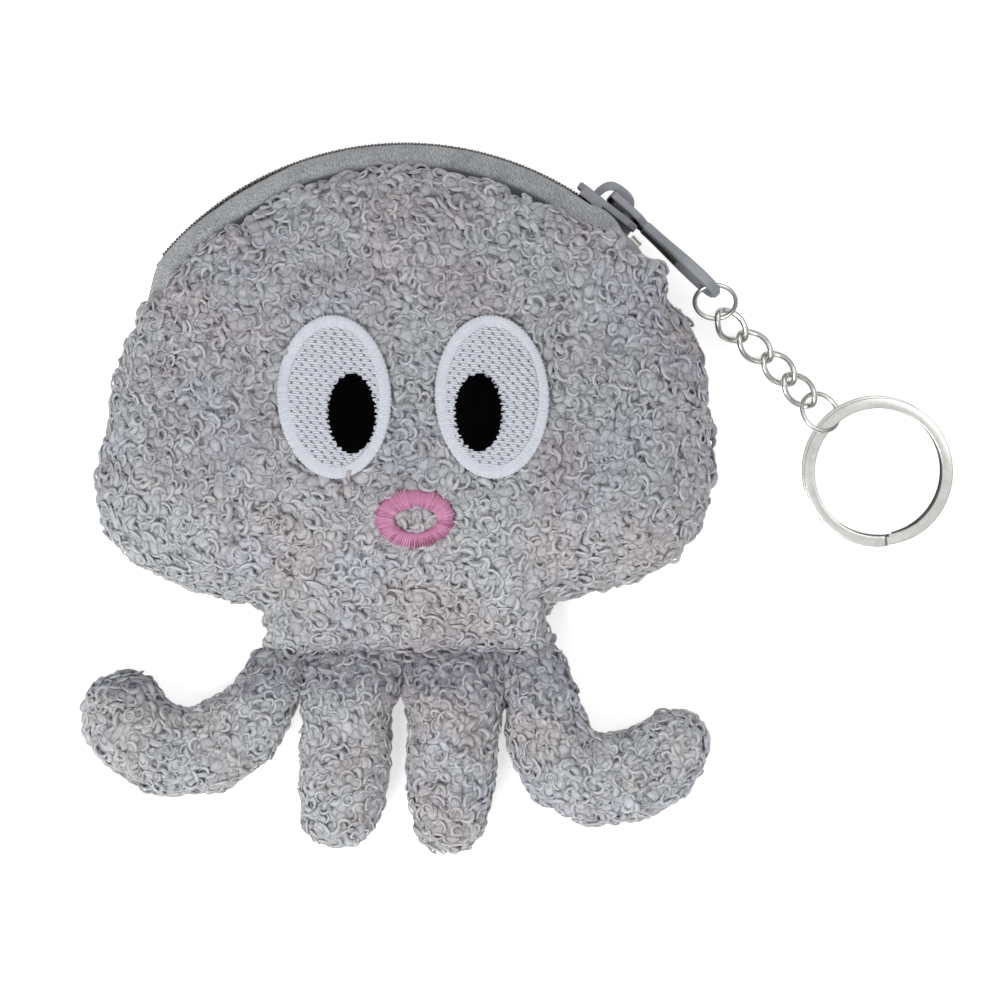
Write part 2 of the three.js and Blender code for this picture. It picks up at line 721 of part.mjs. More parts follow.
function chainBasis(heading, slope, roll) {
  const along = new THREE.Vector3(
    Math.cos(rad(heading)) * Math.cos(rad(slope)),
    Math.sin(rad(heading)) * Math.cos(rad(slope)),
    Math.sin(rad(slope)),
  );
  const level = new THREE.Vector3(-Math.sin(rad(heading)), Math.cos(rad(heading)), 0);
  const across = level.clone().applyAxisAngle(along, rad(roll));
  return new THREE.Matrix4().makeBasis(along, across, along.clone().cross(across));
}

function addChainPiece(name, geometry, material, place, basis) {
  const mesh = addPiece(purse, name, geometry, material);
  mesh.position.copy(place);
  mesh.quaternion.setFromRotationMatrix(basis);
  return mesh;
}

const step = (wireA, reachA, wireB, reachB, slack) => (
  reachA + reachB - (wireA + wireB) / 2 - wireGap - slack);
purse.updateMatrixWorld(true);
const holePlace = pull.localToWorld(new THREE.Vector3(pullLength, 0, 0));
const ringBasis = chainBasis(...ringHeading, ringRoll);
const ringAlong = new THREE.Vector3().setFromMatrixColumn(ringBasis, 0);
const place = holePlace.clone().addScaledVector(ringAlong, jumpRadius);
addChainPiece('pull_jump_ring', jumpRing(), nickelMaterial(), place, ringBasis);

let reach = jumpRadius;
let wire = jumpWire;
linkHeadings.forEach(([heading, slope], k) => {
  const slack = k === linkHeadings.length - 1 ? lastSlack : 0;
  const toNext = new THREE.Vector3().setFromMatrixColumn(chainBasis(heading, slope, 0), 0);
  place.addScaledVector(toNext, step(wire, reach, linkWire, linkHalfLength, slack));
  const basis = chainBasis(...linkTilts[k], 0);
  addChainPiece(`curb_link_${k + 1}`, curbLink(), nickelMaterial(), place, basis);
  reach = linkHalfLength;
  wire = linkWire;
});
const lastAlong = new THREE.Vector3().setFromMatrixColumn(chainBasis(...lastHeading, 0), 0);
place.addScaledVector(lastAlong, step(wire, reach, jumpWire, jumpRadius, lastSlack));
const lastBasis = chainBasis(lastHeading[0], 0, lastRoll);
addChainPiece('key_jump_ring', jumpRing(), nickelMaterial(), place, lastBasis);

const bandMiddle = keyRingRadius - keyRingBand / 2;
const keyBasis = chainBasis(...keyHeading, 0);
const keyAlong = new THREE.Vector3().setFromMatrixColumn(keyBasis, 0);
place.addScaledVector(keyAlong, keyReach + bandMiddle);
const keyTurn = new THREE.Matrix4().makeRotationZ(rad(keyStepAt));
addChainPiece('key_ring', keyRing(), nickelMaterial(), place, keyBasis.clone().multiply(keyTurn));

// Tentacles: stuffed limbs that swell from the crease and taper to a round tip
function tentacleRings(stations, inset, rootSkip) {
  const places = stations.map((station) => new THREE.Vector3(...station));
  const curve = new THREE.CatmullRomCurve3(places, false, 'centripetal');
  const count = 8;
  const sides = 12;
  const flat = stations.map(([x, y]) => new THREE.Vector2(x, y));
  const length = flat.slice(1).reduce((sum, p, i) => sum + p.distanceTo(flat[i]), 0);
  const ringAt = (centre, tangent, halfWidth, halfHeight) => Array.from({ length: sides }, (_, i) => {
    const turn = (2 * Math.PI * i) / sides;
    const side = halfWidth * Math.cos(turn);
    const height = creaseHeight + halfHeight * Math.sin(turn);
    const across = new THREE.Vector2(-tangent.y, tangent.x).multiplyScalar(side);
    return new THREE.Vector3(centre.x + across.x, centre.y + across.y, Math.max(height, inset));
  });
  const rings = [];
  for (let k = 0; k <= count; k += 1) {
    const t = THREE.MathUtils.lerp(rootSkip / length, 1, k / count);
    const p = curve.getPoint(t);
    const q = curve.getTangent(t);
    const tangent = k === 0 ? new THREE.Vector2(0, -1) : new THREE.Vector2(q.x, q.y).normalize();
    const swell = Math.sqrt(Math.min(1, (t * length) / tentacleSwell));
    const full = Math.min(tentacleHalfHeight, p.z * tentacleThinning);
    const halfHeight = THREE.MathUtils.lerp(tentacleRootHeight, full, swell);
    rings.push(ringAt(p, tangent, p.z - inset, halfHeight - inset));
    if (k === count) {
      tipTurns.forEach((turn) => {
        const share = Math.cos(rad(turn));
        const reach = (p.z - inset) * Math.sin(rad(turn));
        const centre = new THREE.Vector2(p.x, p.y).addScaledVector(tangent, reach);
        rings.push(ringAt(centre, tangent, (p.z - inset) * share, (halfHeight - inset) * share));
      });
    }
  }
  return rings;
}

function halfSpace(side) {
  const size = 200;
  const box = new THREE.BoxGeometry(size, size, size);
  box.translate(0, 0, creaseHeight + side * (size / 2 + seamGap / 2));
  return box;
}

tentacleStations.forEach((stations, k) => {
  const skin = toManifold(loft(tentacleRings(stations, 0, 0)))
    .subtract(toManifold(loft(tentacleRings(stations, tentacleWall, tentacleSwell * hollowStart))));
  const half = (side) => fromManifold(skin.intersect(toManifold(halfSpace(side))));
  const name = `tentacle_${k + 1}`;
  addPiece(purse, `${name}_front`, half(1), plushMaterial());
  addPiece(purse, `${name}_back`, half(-1), plushMaterial());
  const filling = loft(tentacleRings(stations, tentacleWall + seamGap, tentacleSwell * fillingStart));
  addPiece(purse, `${name}_filling`, filling, fillingMaterial());
});

// Embroidery follows the face panel's own crown
function faceHeight(x, y) {
  const offset = new THREE.Vector2(x, y).sub(headCentre);
  const angle = Math.atan2(offset.y, offset.x);
  const { point } = edgePoint(angle, tapeExposed, 0);
  const ring = offset.length() / point.distanceTo(headCentre);
  return bowlSurface({ ...frontPanel, ring, angles: [angle], seamOffset: seamGap / 2 })[0].z;
}

function ovalPoint([x, y, halfWidth, halfHeight], turn, scale = 1) {
  const point = new THREE.Vector2(halfWidth * Math.cos(turn), halfHeight * Math.sin(turn));
  const spread = point.multiplyScalar(scale).rotateAround(new THREE.Vector2(), rad(eyeTilt));
  return spread.add(new THREE.Vector2(x, y));
}

function stitchedOval(oval, lift, thickness) {
  const sides = 26;
  const layer = (scale, height) => Array.from({ length: sides }, (_, i) => {
    const p = ovalPoint(oval, (2 * Math.PI * i) / sides, scale);
    return new THREE.Vector3(p.x, p.y, faceHeight(p.x, p.y) + lift + height);
  });
  return loft([
    layer(0.55, thickness), layer(0.93, thickness), layer(1, thickness / 2), layer(0.97, 0),
    layer(0.55, 0),
  ]);
}

['left', 'right'].forEach((side) => {
  const white = stitchedOval(eyes[side], seamGap, eyeThickness);
  const pupil = stitchedOval(pupils[side], 2 * seamGap + eyeThickness, pupilThickness);
  addPiece(purse, `eye_white_${side}`, white, threadMaterial(0xe4e6ec));
  addPiece(purse, `pupil_${side}`, pupil, threadMaterial(0x141416));
});

function mouthRing() {
  const sides = 28;
  const profile = [[0, 0], [0.04, 0.6], [0.3, 1], [0.7, 1], [0.96, 0.6], [1, 0]];
  const rings = Array.from({ length: sides }, (_, i) => {
    const turn = (2 * Math.PI * i) / sides;
    const inner = ovalPoint(mouthInner, turn);
    const outer = ovalPoint(mouthOuter, turn);
    return profile.map(([share, height]) => {
      const p = inner.clone().lerp(outer, share);
      return new THREE.Vector3(p.x, p.y, faceHeight(p.x, p.y) + seamGap + height * mouthThickness);
    });
  });
  return ringLoop(rings);
}

addPiece(purse, 'mouth_ring', mouthRing(), threadMaterial(0xe07aad));

export default purse;
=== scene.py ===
"""Plush octopus coin purse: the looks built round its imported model, in metres, lying on its back."""

import json
import math
from contextlib import contextmanager

import bmesh
import bpy
import numpy as np
from mathutils import Matrix, Vector, noise
from mathutils.bvhtree import BVHTree

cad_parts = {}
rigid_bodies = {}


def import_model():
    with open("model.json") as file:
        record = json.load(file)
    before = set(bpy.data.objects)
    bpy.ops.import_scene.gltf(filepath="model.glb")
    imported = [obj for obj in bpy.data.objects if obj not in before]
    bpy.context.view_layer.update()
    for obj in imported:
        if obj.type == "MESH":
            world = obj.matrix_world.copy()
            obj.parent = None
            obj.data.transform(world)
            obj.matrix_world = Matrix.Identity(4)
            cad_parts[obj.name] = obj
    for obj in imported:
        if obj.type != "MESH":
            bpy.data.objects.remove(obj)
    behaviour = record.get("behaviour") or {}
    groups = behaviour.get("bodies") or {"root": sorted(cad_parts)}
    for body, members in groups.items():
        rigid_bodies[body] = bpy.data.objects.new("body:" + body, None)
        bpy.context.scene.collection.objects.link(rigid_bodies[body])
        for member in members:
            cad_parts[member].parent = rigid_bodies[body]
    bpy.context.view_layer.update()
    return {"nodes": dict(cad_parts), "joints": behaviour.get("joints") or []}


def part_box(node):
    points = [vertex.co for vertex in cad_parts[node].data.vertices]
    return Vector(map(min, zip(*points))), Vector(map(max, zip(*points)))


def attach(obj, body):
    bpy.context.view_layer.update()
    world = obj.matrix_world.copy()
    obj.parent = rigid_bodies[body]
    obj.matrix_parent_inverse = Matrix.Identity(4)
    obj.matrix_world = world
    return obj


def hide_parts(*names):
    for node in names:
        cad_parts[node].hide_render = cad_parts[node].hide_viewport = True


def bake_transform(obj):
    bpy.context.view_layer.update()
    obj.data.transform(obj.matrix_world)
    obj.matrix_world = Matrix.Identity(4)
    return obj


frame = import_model()
nodes = frame["nodes"]
pivots = {joint["name"]: Vector(joint["pos_m"]) for joint in frame["joints"]}
MM = 0.001

# Places shared with the solids
HEAD_CENTRE = Vector((0, -2, 10)) * MM
ZIP_CENTRE = Vector((0, -10.4, 7.6)) * MM
ZIP_RADIUS = 53.3 * MM
ZIP_LEFT = math.radians(142)
SLIDER_AT = math.radians(51.6)
CREASE_Y = -42 * MM
# Ovals: middle, half width and half height in mm
EYES = {"left": (-11.45, 0.3, 9.3, 13.3), "right": (14.5, 0.3, 9.3, 13.3)}
PUPILS = {"left": (-8.55, -2.5, 3.9, 6.5), "right": (12.3, -2.3, 3.85, 6.35)}
EYE_TILT = math.radians(2.5)
MOUTH_OUTER = (1.75, -19.6, 6.6, 4.95)
MOUTH_INNER = (1.95, -19.9, 3.55, 1.85)
JUMP_RADIUS = 3.45 * MM
JUMP_WIRE = 0.78 * MM
LINK_WIRE = 0.98 * MM
LINK_HALF_LENGTH = 3.3 * MM
LINK_HALF_WIDTH = 2.1 * MM
LINK_TWIST = math.radians(45)
KEY_RING_RADIUS = 12.5 * MM
KEY_RING_BAND = 1.8 * MM
KEY_RING_LEAF = 0.55 * MM
KEY_RING_SHADED_RIM = 0.45 * MM
KEY_RING_PITCH = 0.68 * MM
KEY_RING_STEP_AT = math.radians(-76)
KEY_RING_LEAN = Vector((0.35, -0.3, 0.0)) * MM
TAPE_SEAM = 7.2 * MM


# Shader maths
class Value:
    """A shader socket with arithmetic: each operator adds its Math node."""

    def __init__(self, shader, socket):
        self.shader = shader
        self.socket = socket

    def math(self, operation, *others):
        return self.shader.node("ShaderNodeMath", {"operation": operation}, self, *others)

    def __add__(self, other):
        return self.math("ADD", other)

    def __mul__(self, other):
        return self.math("MULTIPLY", other)

    def __sub__(self, other):
        return self.math("SUBTRACT", other)

    def __rsub__(self, other):
        return self.shader.node("ShaderNodeMath", {"operation": "SUBTRACT"}, other, self)

    __radd__ = __add__
    __rmul__ = __mul__

    def clamp(self):
        return self.shader.node("ShaderNodeClamp", {}, self)

    def between(self, low, high):
        """0 below low, 1 above high, smooth between them."""
        return self.shader.node(
            "ShaderNodeMapRange", {"interpolation_type": "SMOOTHSTEP"}, self, low, high, 0.0, 1.0
        )


class Shader:
    """One material or world under construction, with its Principled surface or Background."""

    def __init__(self, name, world=None):
        self.material = world or bpy.data.materials.new(name)
        self.material.use_nodes = True
        self.tree = self.material.node_tree
        self.surface = self.tree.nodes["Background" if world else "Principled BSDF"]

    def plug(self, socket, value):
        if isinstance(value, Value):
            self.tree.links.new(value.socket, socket)
        else:
            socket.default_value = value

    def node(self, kind, settings, *values, output=0, **named):
        made = self.tree.nodes.new(kind)
        for key, setting in settings.items():
            setattr(made, key, setting)
        for socket, value in zip(made.inputs, values):
            if value is not None:
                self.plug(socket, value)
        for key, value in named.items():
            self.plug(made.inputs[key.replace("_", " ")], value)
        return Value(self, made.outputs[output])

    def place(self, kind="Object"):
        return self.node("ShaderNodeTexCoord", {}, output=kind)

    def split(self, vector):
        made = self.tree.nodes.new("ShaderNodeSeparateXYZ")
        self.plug(made.inputs[0], vector)
        return [Value(self, socket) for socket in made.outputs]

    def noise(self, per_metre, detail, rough, vector=None):
        return self.node(
            "ShaderNodeTexNoise", {}, Vector=vector or self.place(),
            Scale=per_metre, Detail=detail, Roughness=rough,
        )

    def attribute(self, name):
        return self.node("ShaderNodeAttribute", {"attribute_name": name}, output="Fac")

    def mix(self, share, low, high):
        made = self.tree.nodes.new("ShaderNodeMix")
        made.data_type = "RGBA"
        colours = [s for s in made.inputs if s.type == "RGBA"]
        self.plug(made.inputs[0], share)
        for socket, colour in zip(colours, (low, high)):
            self.plug(socket, colour if isinstance(colour, Value) else (*colour, 1.0))
        return Value(self, [s for s in made.outputs if s.type == "RGBA"][0])

    def bump(self, height, distance, strength=1.0):
        return self.node("ShaderNodeBump", {}, Height=height, Distance=distance, Strength=strength)

    def finish(self, **sockets):
        for key, value in sockets.items():
            self.plug(self.surface.inputs[key.replace("_", " ")], value)
        return self.material


def linear(*levels):
    """The linear colour of a photographed one, from 0 to 255."""
    shares = [level / 255 for level in levels]
    return tuple(s / 12.92 if s <= 0.04045 else ((s + 0.055) / 1.055) ** 2.4 for s in shares)


# Noises: waves per metre, detail and roughness
WARM_PATCHES, COOL_PATCHES = (70, 2, 0.5), (95, 1, 0.4)
FIBRE, MATTED, BLOTCH = (5200, 3, 0.7), (1100, 3, 0.6), (330, 2, 0.5)
CLOTH_WEAR = (120, 3, 0.6)
TAPE_FLECK, TAPE_CLOUD = (2600, 2, 0.7), (150, 2, 0.5)
PAINT_CLOUD, PAINT_GRAIN = (900, 3, 0.6), (7000, 2, 0.5)
METAL_STAIN, METAL_SCRATCH = (420, 4, 0.65), (3000, 3, 0.7)
NYLON_CLOUD, NYLON_GRAIN = (800, 3, 0.6), (4000, 2, 0.5)
WADDING = (300, 5, 0.7)

# The pile as photographed, in plain, warm and cool patches: each colour at the head and lower down
# The lit tips: colours that stand in for the light on the locks' tops
PILE_LIT_TIPS = {
    "plain": ((191, 193, 197), (204, 206, 208)),
    "warm": ((189, 184, 188), (202, 197, 200)),
    "cool": ((188, 190, 202), (199, 202, 213)),
}
# Painted shade: darker colours that stand in for the shade between the locks and at their roots
PILE_PAINTED_SHADE = {
    "plain": ((153, 155, 159), (165, 167, 170)),
    "warm": ((145, 141, 146), (157, 153, 157)),
}
# Painted light: the pile is lighter towards the left edge, as the light falls there
PILE_EDGE_LIGHT = (202, 211, 209)
# Painted shade in the crease below the head, where the tentacles' roots meet: its colour, middle, core and
# reach
PILE_CREASE_SHADE = (126, 126, 140)
CREASE_MIDDLE = 45.5 * MM
CREASE_CORE = 1.5 * MM
CREASE_REACH = 6 * MM
# Painted shade and light: every pile colour is darker at the head and lighter lower down, as the light
# falls
LOWER_FROM, LOWER_TO = 8 * MM, 26 * MM
EDGE_FROM, EDGE_TO = 26 * MM, 52 * MM
PATCH_SHIFT = (0.31, 0.17, 0.05)
WARM_FADE, COOL_FADE = (0.4, 0.62), (0.5, 0.66)
EDGE_LIGHT_SHARE, CREASE_SHADE_SHARE = 0.25, 0.7
SKIN_SCATTER = 1.2 * MM


def curled_plush():
    """Matted pile: a lock is lighter at its tip, by its own tone, and in light patches. Painted light: the
    lit tips, the left edge and the lower part. Painted shade: the locks' roots, the bare skin, the crease
    and the head.
    """
    shader = Shader("curled_plush")
    tone = shader.attribute("curl_tone")
    lift = shader.attribute("curl_lift")
    x, y, _ = shader.split(shader.place())
    shifted = shader.node("ShaderNodeVectorMath", {"operation": "ADD"}, shader.place(), PATCH_SHIFT)
    warm = shader.noise(*WARM_PATCHES).between(*WARM_FADE)
    cool = shader.noise(*COOL_PATCHES, shifted).between(*COOL_FADE)
    # Painted light towards the left edge
    edge = (x * -1 - y * 0.35).between(EDGE_FROM, EDGE_TO)
    # Darker at the head and lighter lower down: painted shade and light
    low = (y * -1).between(LOWER_FROM, LOWER_TO)
    # Painted shade along the crease
    crease = 1 - (y * -1 - CREASE_MIDDLE).math("ABSOLUTE").between(CREASE_CORE, CREASE_REACH)

    def patch(colours):
        return shader.mix(low, *(linear(*levels) for levels in colours))

    # The lit tips' colour, as painted light
    body = shader.mix(warm, patch(PILE_LIT_TIPS["plain"]), patch(PILE_LIT_TIPS["warm"]))
    body = shader.mix(cool, body, patch(PILE_LIT_TIPS["cool"]))
    body = shader.mix(edge * EDGE_LIGHT_SHARE, body, linear(*PILE_EDGE_LIGHT))
    # Painted shade between the locks and at their roots
    painted_shade = shader.mix(warm, patch(PILE_PAINTED_SHADE["plain"]), patch(PILE_PAINTED_SHADE["warm"]))
    # The crease takes painted shade
    painted_shade = shader.mix(crease * CREASE_SHADE_SHARE, painted_shade, linear(*PILE_CREASE_SHADE))
    fibre = shader.noise(*FIBRE)
    matted = shader.noise(*MATTED)
    blotch = shader.noise(*BLOTCH)
    # Height paints lit tips over painted shade and the crease adds painted shade; tone, matted and blotch
    # vary at random
    share = (lift * 0.5 + tone * 0.35 + matted * 1.1 + blotch * 1.1 - crease * 0.25 - 1.05).clamp()
    return shader.finish(
        Base_Color=shader.mix(share, painted_shade, body),
        Roughness=0.95,
        Specular_IOR_Level=0.2,
        Subsurface_Weight=0.5,
        Subsurface_Radius=(1.0, 1.0, 1.0),
        Subsurface_Scale=SKIN_SCATTER,
        Sheen_Weight=0.2,
        Sheen_Roughness=0.5,
        Normal=shader.bump(fibre * 0.4 + matted * 2.0, 0.25 * MM, 0.8),
    )


def woven(name, colour, shade, pitch, depth):
    """Plain cloth: crossed threads at a pitch, in Object coordinates."""
    shader = Shader(name)
    x, y, z = shader.split(shader.place())
    turn = 2 * math.pi / pitch
    warp = ((x + z * 0.6) * turn).math("SINE")
    weft = ((y + z * 0.4) * turn).math("SINE")
    cloth = warp * weft
    share = (cloth * 0.25 + shader.noise(*CLOTH_WEAR)).clamp()
    return shader.finish(
        Base_Color=shader.mix(share, shade, colour),
        Roughness=0.85,
        Sheen_Weight=0.15,
        Normal=shader.bump(cloth, depth, 0.7),
    )


TAPE_DARK, TAPE_LIGHT, TAPE_SHADOW = linear(120, 122, 125), linear(204, 207, 211), linear(84, 86, 90)
TWILL_WALE = 1.1 * MM
TWILL_RIB = 0.58 * MM
SEAM_SHADOW = 0.9 * MM


def zip_tape():
    """Twilled tape: slanted flecks of thread and a shadowed seam line, in the tape's own UV."""
    shader = Shader("zip_tape")
    u, v, _ = shader.split(shader.place("UV"))
    slanted = shader.node("ShaderNodeCombineXYZ", {}, u + v * 0.8, v * 0.45, 0.0)
    fleck = shader.noise(*TAPE_FLECK, slanted)
    wale = (v * (1 / TWILL_WALE) + fleck * 1.2).math("PINGPONG", 1.0)
    ribs = ((u * (1 / TWILL_RIB) + wale * 0.7 + fleck * 2.2) * (2 * math.pi)).math("SINE")
    cloud = shader.noise(*TAPE_CLOUD)
    seam = v.between(TAPE_SEAM - SEAM_SHADOW, TAPE_SEAM)
    share = (ribs * 0.1 + fleck * 1.5 + cloud * 0.7 - 0.64).clamp()
    cloth = shader.mix(share, TAPE_DARK, TAPE_LIGHT)
    return shader.finish(
        Base_Color=shader.mix(seam, cloth, TAPE_SHADOW),
        Roughness=0.85,
        Sheen_Weight=0.1,
        Normal=shader.bump(ribs * 0.35 + fleck * 1.6, 0.2 * MM, 0.9),
    )


def embroidery_thread(name, colour, shade, gloss, contrast):
    """Trilobal thread: fine fibres twisted round each stitch, in the stitch's own UV."""
    shader = Shader(name)
    u, v, _ = shader.split(shader.place("UV"))
    fibres = ((v * 3 + u * 2) * (2 * math.pi)).math("SINE")
    tone = shader.attribute("curl_tone")
    share = (fibres * 0.15 + tone * contrast + 0.62 - contrast / 2).clamp()
    return shader.finish(
        Base_Color=shader.mix(share, shade, colour),
        Roughness=1 - gloss,
        Specular_IOR_Level=gloss,
        Normal=shader.bump(fibres, 0.03 * MM, 0.6),
    )


def satin_paint(name, colour, shade):
    shader = Shader(name)
    cloud = shader.noise(*PAINT_CLOUD)
    grain = shader.noise(*PAINT_GRAIN)
    return shader.finish(
        Base_Color=shader.mix(cloud, shade, colour),
        Roughness=0.36 + cloud * 0.12,
        Metallic=0.15,
        Normal=shader.bump(grain, 0.01 * MM, 0.5),
    )


def nickel(name, colour, shade):
    shader = Shader(name)
    stain = shader.noise(*METAL_STAIN)
    scratch = shader.noise(*METAL_SCRATCH)
    return shader.finish(
        Base_Color=shader.mix(stain, shade, colour),
        Roughness=0.16 + scratch * 0.16,
        Metallic=1.0,
        Normal=shader.bump(scratch, 0.008 * MM, 0.6),
    )


def nylon(name, colour, shade):
    shader = Shader(name)
    cloud = shader.noise(*NYLON_CLOUD)
    return shader.finish(
        Base_Color=shader.mix(cloud, shade, colour),
        Roughness=0.45,
        Normal=shader.bump(shader.noise(*NYLON_GRAIN), 0.02 * MM, 0.5),
    )


def polyester_fill(name, colour, shade):
    shader = Shader(name)
    cloud = shader.noise(*WADDING)
    return shader.finish(
        Base_Color=shader.mix(cloud, shade, colour),
        Roughness=0.95,
        Sheen_Weight=0.4,
        Normal=shader.bump(cloud, 0.8 * MM, 0.9),
    )


PLUSH = curled_plush()
LINING = woven("lining_cloth", linear(168, 169, 172), linear(132, 133, 137), 0.5 * MM, 0.08 * MM)
TAPE = zip_tape()
WHITE_THREAD = embroidery_thread("white_thread", linear(205, 208, 216), linear(188, 192, 201), 0.25, 0.45)
BLACK_THREAD = embroidery_thread("black_thread", linear(4, 4, 5), linear(1, 1, 2), 0.02, 0.45)
PINK_THREAD = embroidery_thread("pink_thread", linear(212, 156, 187), linear(150, 78, 114), 0.3, 0.8)
SATIN = satin_paint("satin_paint", linear(142, 144, 150), linear(126, 129, 135))
NICKEL = nickel("nickel_plate", linear(226, 226, 223), linear(180, 178, 173))
# Painted shade for the gap between the key ring's turns
RING_GAP_SHADE = nickel("tarnished_nickel", linear(92, 92, 88), linear(60, 60, 58))
# Painted shade for the hollow on the pull's inner side
RECESS_SHADE = nylon("dark_recess", linear(52, 47, 44), linear(30, 27, 25))
NYLON = nylon("coil_nylon", linear(112, 110, 106), linear(70, 68, 65))
FILL = polyester_fill("polyester_fill", linear(246, 246, 243), linear(205, 205, 200))


# Meshes
def in_scene(name, data):
    made = bpy.data.objects.new(name, data)
    bpy.context.scene.collection.objects.link(made)
    return made


def hidden(made):
    """A pattern for Geometry Nodes, out of the scene."""
    bpy.context.scene.collection.objects.unlink(made)
    return made


def shade_smooth(mesh, smooth=True):
    mesh.polygons.foreach_set("use_smooth", [smooth] * len(mesh.polygons))


def paint(mesh, material):
    mesh.materials.clear()
    mesh.materials.append(material)
    shade_smooth(mesh)


@contextmanager
def editing(mesh):
    """A BMesh of mesh, written back to it at the end."""
    bm = bmesh.new()
    bm.from_mesh(mesh)
    yield bm
    bm.to_mesh(mesh)
    bm.free()


def mesh_object(name, points, faces, material, smooth=True):
    mesh = bpy.data.meshes.new(name)
    mesh.from_pydata(points, [], faces)
    mesh.validate()
    mesh.materials.append(material)
    with editing(mesh) as bm:
        bmesh.ops.recalc_face_normals(bm, faces=bm.faces)
    shade_smooth(mesh, smooth)
    return in_scene(name, mesh)


def edges_object(name, points, edges):
    mesh = bpy.data.meshes.new(name)
    mesh.from_pydata(points, edges, [])
    return in_scene(name, mesh)


def circle(count):
    """The angles of count even steps round a circle."""
    return [2 * math.pi * k / count for k in range(count)]


def bands(rows, count, closed=False):
    """Quads round and round between rows of count points each."""
    faces = []
    for k in range(rows if closed else rows - 1):
        low, high = k * count, (k + 1) % rows * count
        for i in range(count):
            j = (i + 1) % count
            faces.append((low + i, low + j, high + j, high + i))
    return faces


def tube(rows, count):
    """The bands of an open tube and its two end faces."""
    last = (rows - 1) * count
    return bands(rows, count) + [tuple(range(count))[::-1], tuple(last + i for i in range(count))]


def lay_uv(mesh, name, uvs):
    """A UV map that gives each point one place."""
    layer = mesh.uv_layers.new(name=name)
    for loop in mesh.loops:
        layer.data[loop.index].uv = uvs[loop.vertex_index]


def modify(made, kind, **settings):
    modifier = made.modifiers.new(kind.lower(), kind)
    for key, value in settings.items():
        setattr(modifier, key, value)


def evaluated(made, name):
    """A plain mesh object of what made's modifiers give, in place of made."""
    depsgraph = bpy.context.evaluated_depsgraph_get()
    mesh = bpy.data.meshes.new_from_object(made.evaluated_get(depsgraph), depsgraph=depsgraph)
    mesh.name = name
    bpy.data.objects.remove(made)
    return in_scene(name, mesh)


def vectors(items, key):
    found = np.empty(len(items) * 3, np.float32)
    items.foreach_get(key, found)
    return found.reshape(-1, 3).astype(float)


def coordinates(mesh):
    return vectors(mesh.vertices, "co")


def normals(mesh):
    return vectors(mesh.vertex_normals, "vector")


def set_coordinates(mesh, points):
    mesh.vertices.foreach_set("co", points.astype(np.float32).ravel())
    mesh.update()


WELD = 0.001 * MM


def welded(names, title):
    """Some CAD nodes as one mesh with its seams closed."""
    mesh = bpy.data.meshes.new(title)
    with editing(mesh) as bm:
        for name in names:
            bm.from_mesh(nodes[name].data)
        bmesh.ops.remove_doubles(bm, verts=bm.verts, dist=WELD)
    return in_scene(title, mesh)


def soft_copy(names, title, voxel, rounds, material):
    """One even, rounded mesh of some CAD nodes, as cloth sewn from those panels would lie."""
    made = welded(names, title)
    modify(made, "REMESH", mode="VOXEL", voxel_size=voxel)
    modify(made, "SMOOTH", factor=0.5, iterations=rounds)
    made = evaluated(made, title)
    keep_outer_island(made.data)
    paint(made.data, material)
    return made


def keep_outer_island(mesh):
    """Drops the pockets that a remesh leaves inside: the island with the most faces stays."""
    with editing(mesh) as bm:
        left, islands = set(bm.faces), []
        while left:
            island = [left.pop()]
            for face in island:
                found = {other for side in face.edges for other in side.link_faces} & left
                left -= found
                island += found
            islands.append(island)
        islands.sort(key=len)
        spare = [face for island in islands[:-1] for face in island]
        if spare:
            bmesh.ops.delete(bm, geom=spare, context="FACES")
            bmesh.ops.delete(bm, geom=[v for v in bm.verts if not v.link_faces], context="VERTS")


def lump(made, size, depth, seed):
    """Uneven stuffing: the surface swells and sinks over distances of about size."""
    points = coordinates(made.data)
    outward = normals(made.data)
    offset = Vector((seed * 0.37, seed * 0.11, seed * 0.23))
    rise = np.array([noise.noise(Vector(p) / size + offset) for p in points])
    set_coordinates(made.data, points + outward * (rise * depth)[:, None])


def add_float(mesh, name, values):
    layer = mesh.attributes.get(name) or mesh.attributes.new(name, "FLOAT", "POINT")
    layer.data.foreach_set("value", np.asarray(values, np.float32))


# Pile: locks of curled fibre in two layers over a skin
STRAND_SIDES = 4
LIFT_HEIGHT = 1.1 * MM
TUFT_SIDES = 10
# A tuft's levels: share of its outline and of its height
TUFT_LEVELS = [(1.0, -0.2), (0.96, 0.25), (0.74, 0.7), (0.38, 0.95)]


def strand(path, widths, flat):
    """Points and faces of a flattened tube along a path."""
    points = []
    for k, (place, width) in enumerate(zip(path, widths)):
        ahead = path[min(k + 1, len(path) - 1)]
        behind = path[max(k - 1, 0)]
        along = (ahead - behind).normalized()
        side = along.cross(Vector((0, 0, 1))).normalized()
        rise = side.cross(along).normalized()
        for turn in circle(STRAND_SIDES):
            points.append(place + side * (width * math.cos(turn)) + rise * (width * flat * math.sin(turn)))
    return points, tube(len(path), STRAND_SIDES)


def curl(turns, radius, height, width, shrink, steps):
    """A lock that leaves the skin, winds round and tucks its end in."""
    path, widths = [], []
    for k in range(steps + 1):
        t = k / steps
        turn = 2 * math.pi * turns * t
        reach = radius * (1 - shrink * t)
        rise = height * math.sin(math.pi * min(1, 0.1 + t * 0.8)) - 0.2
        path.append(Vector((reach * math.cos(turn), reach * math.sin(turn), rise)) * MM)
        widths.append(width * MM * (0.6 + 0.4 * math.sin(math.pi * t)))
    return path, widths


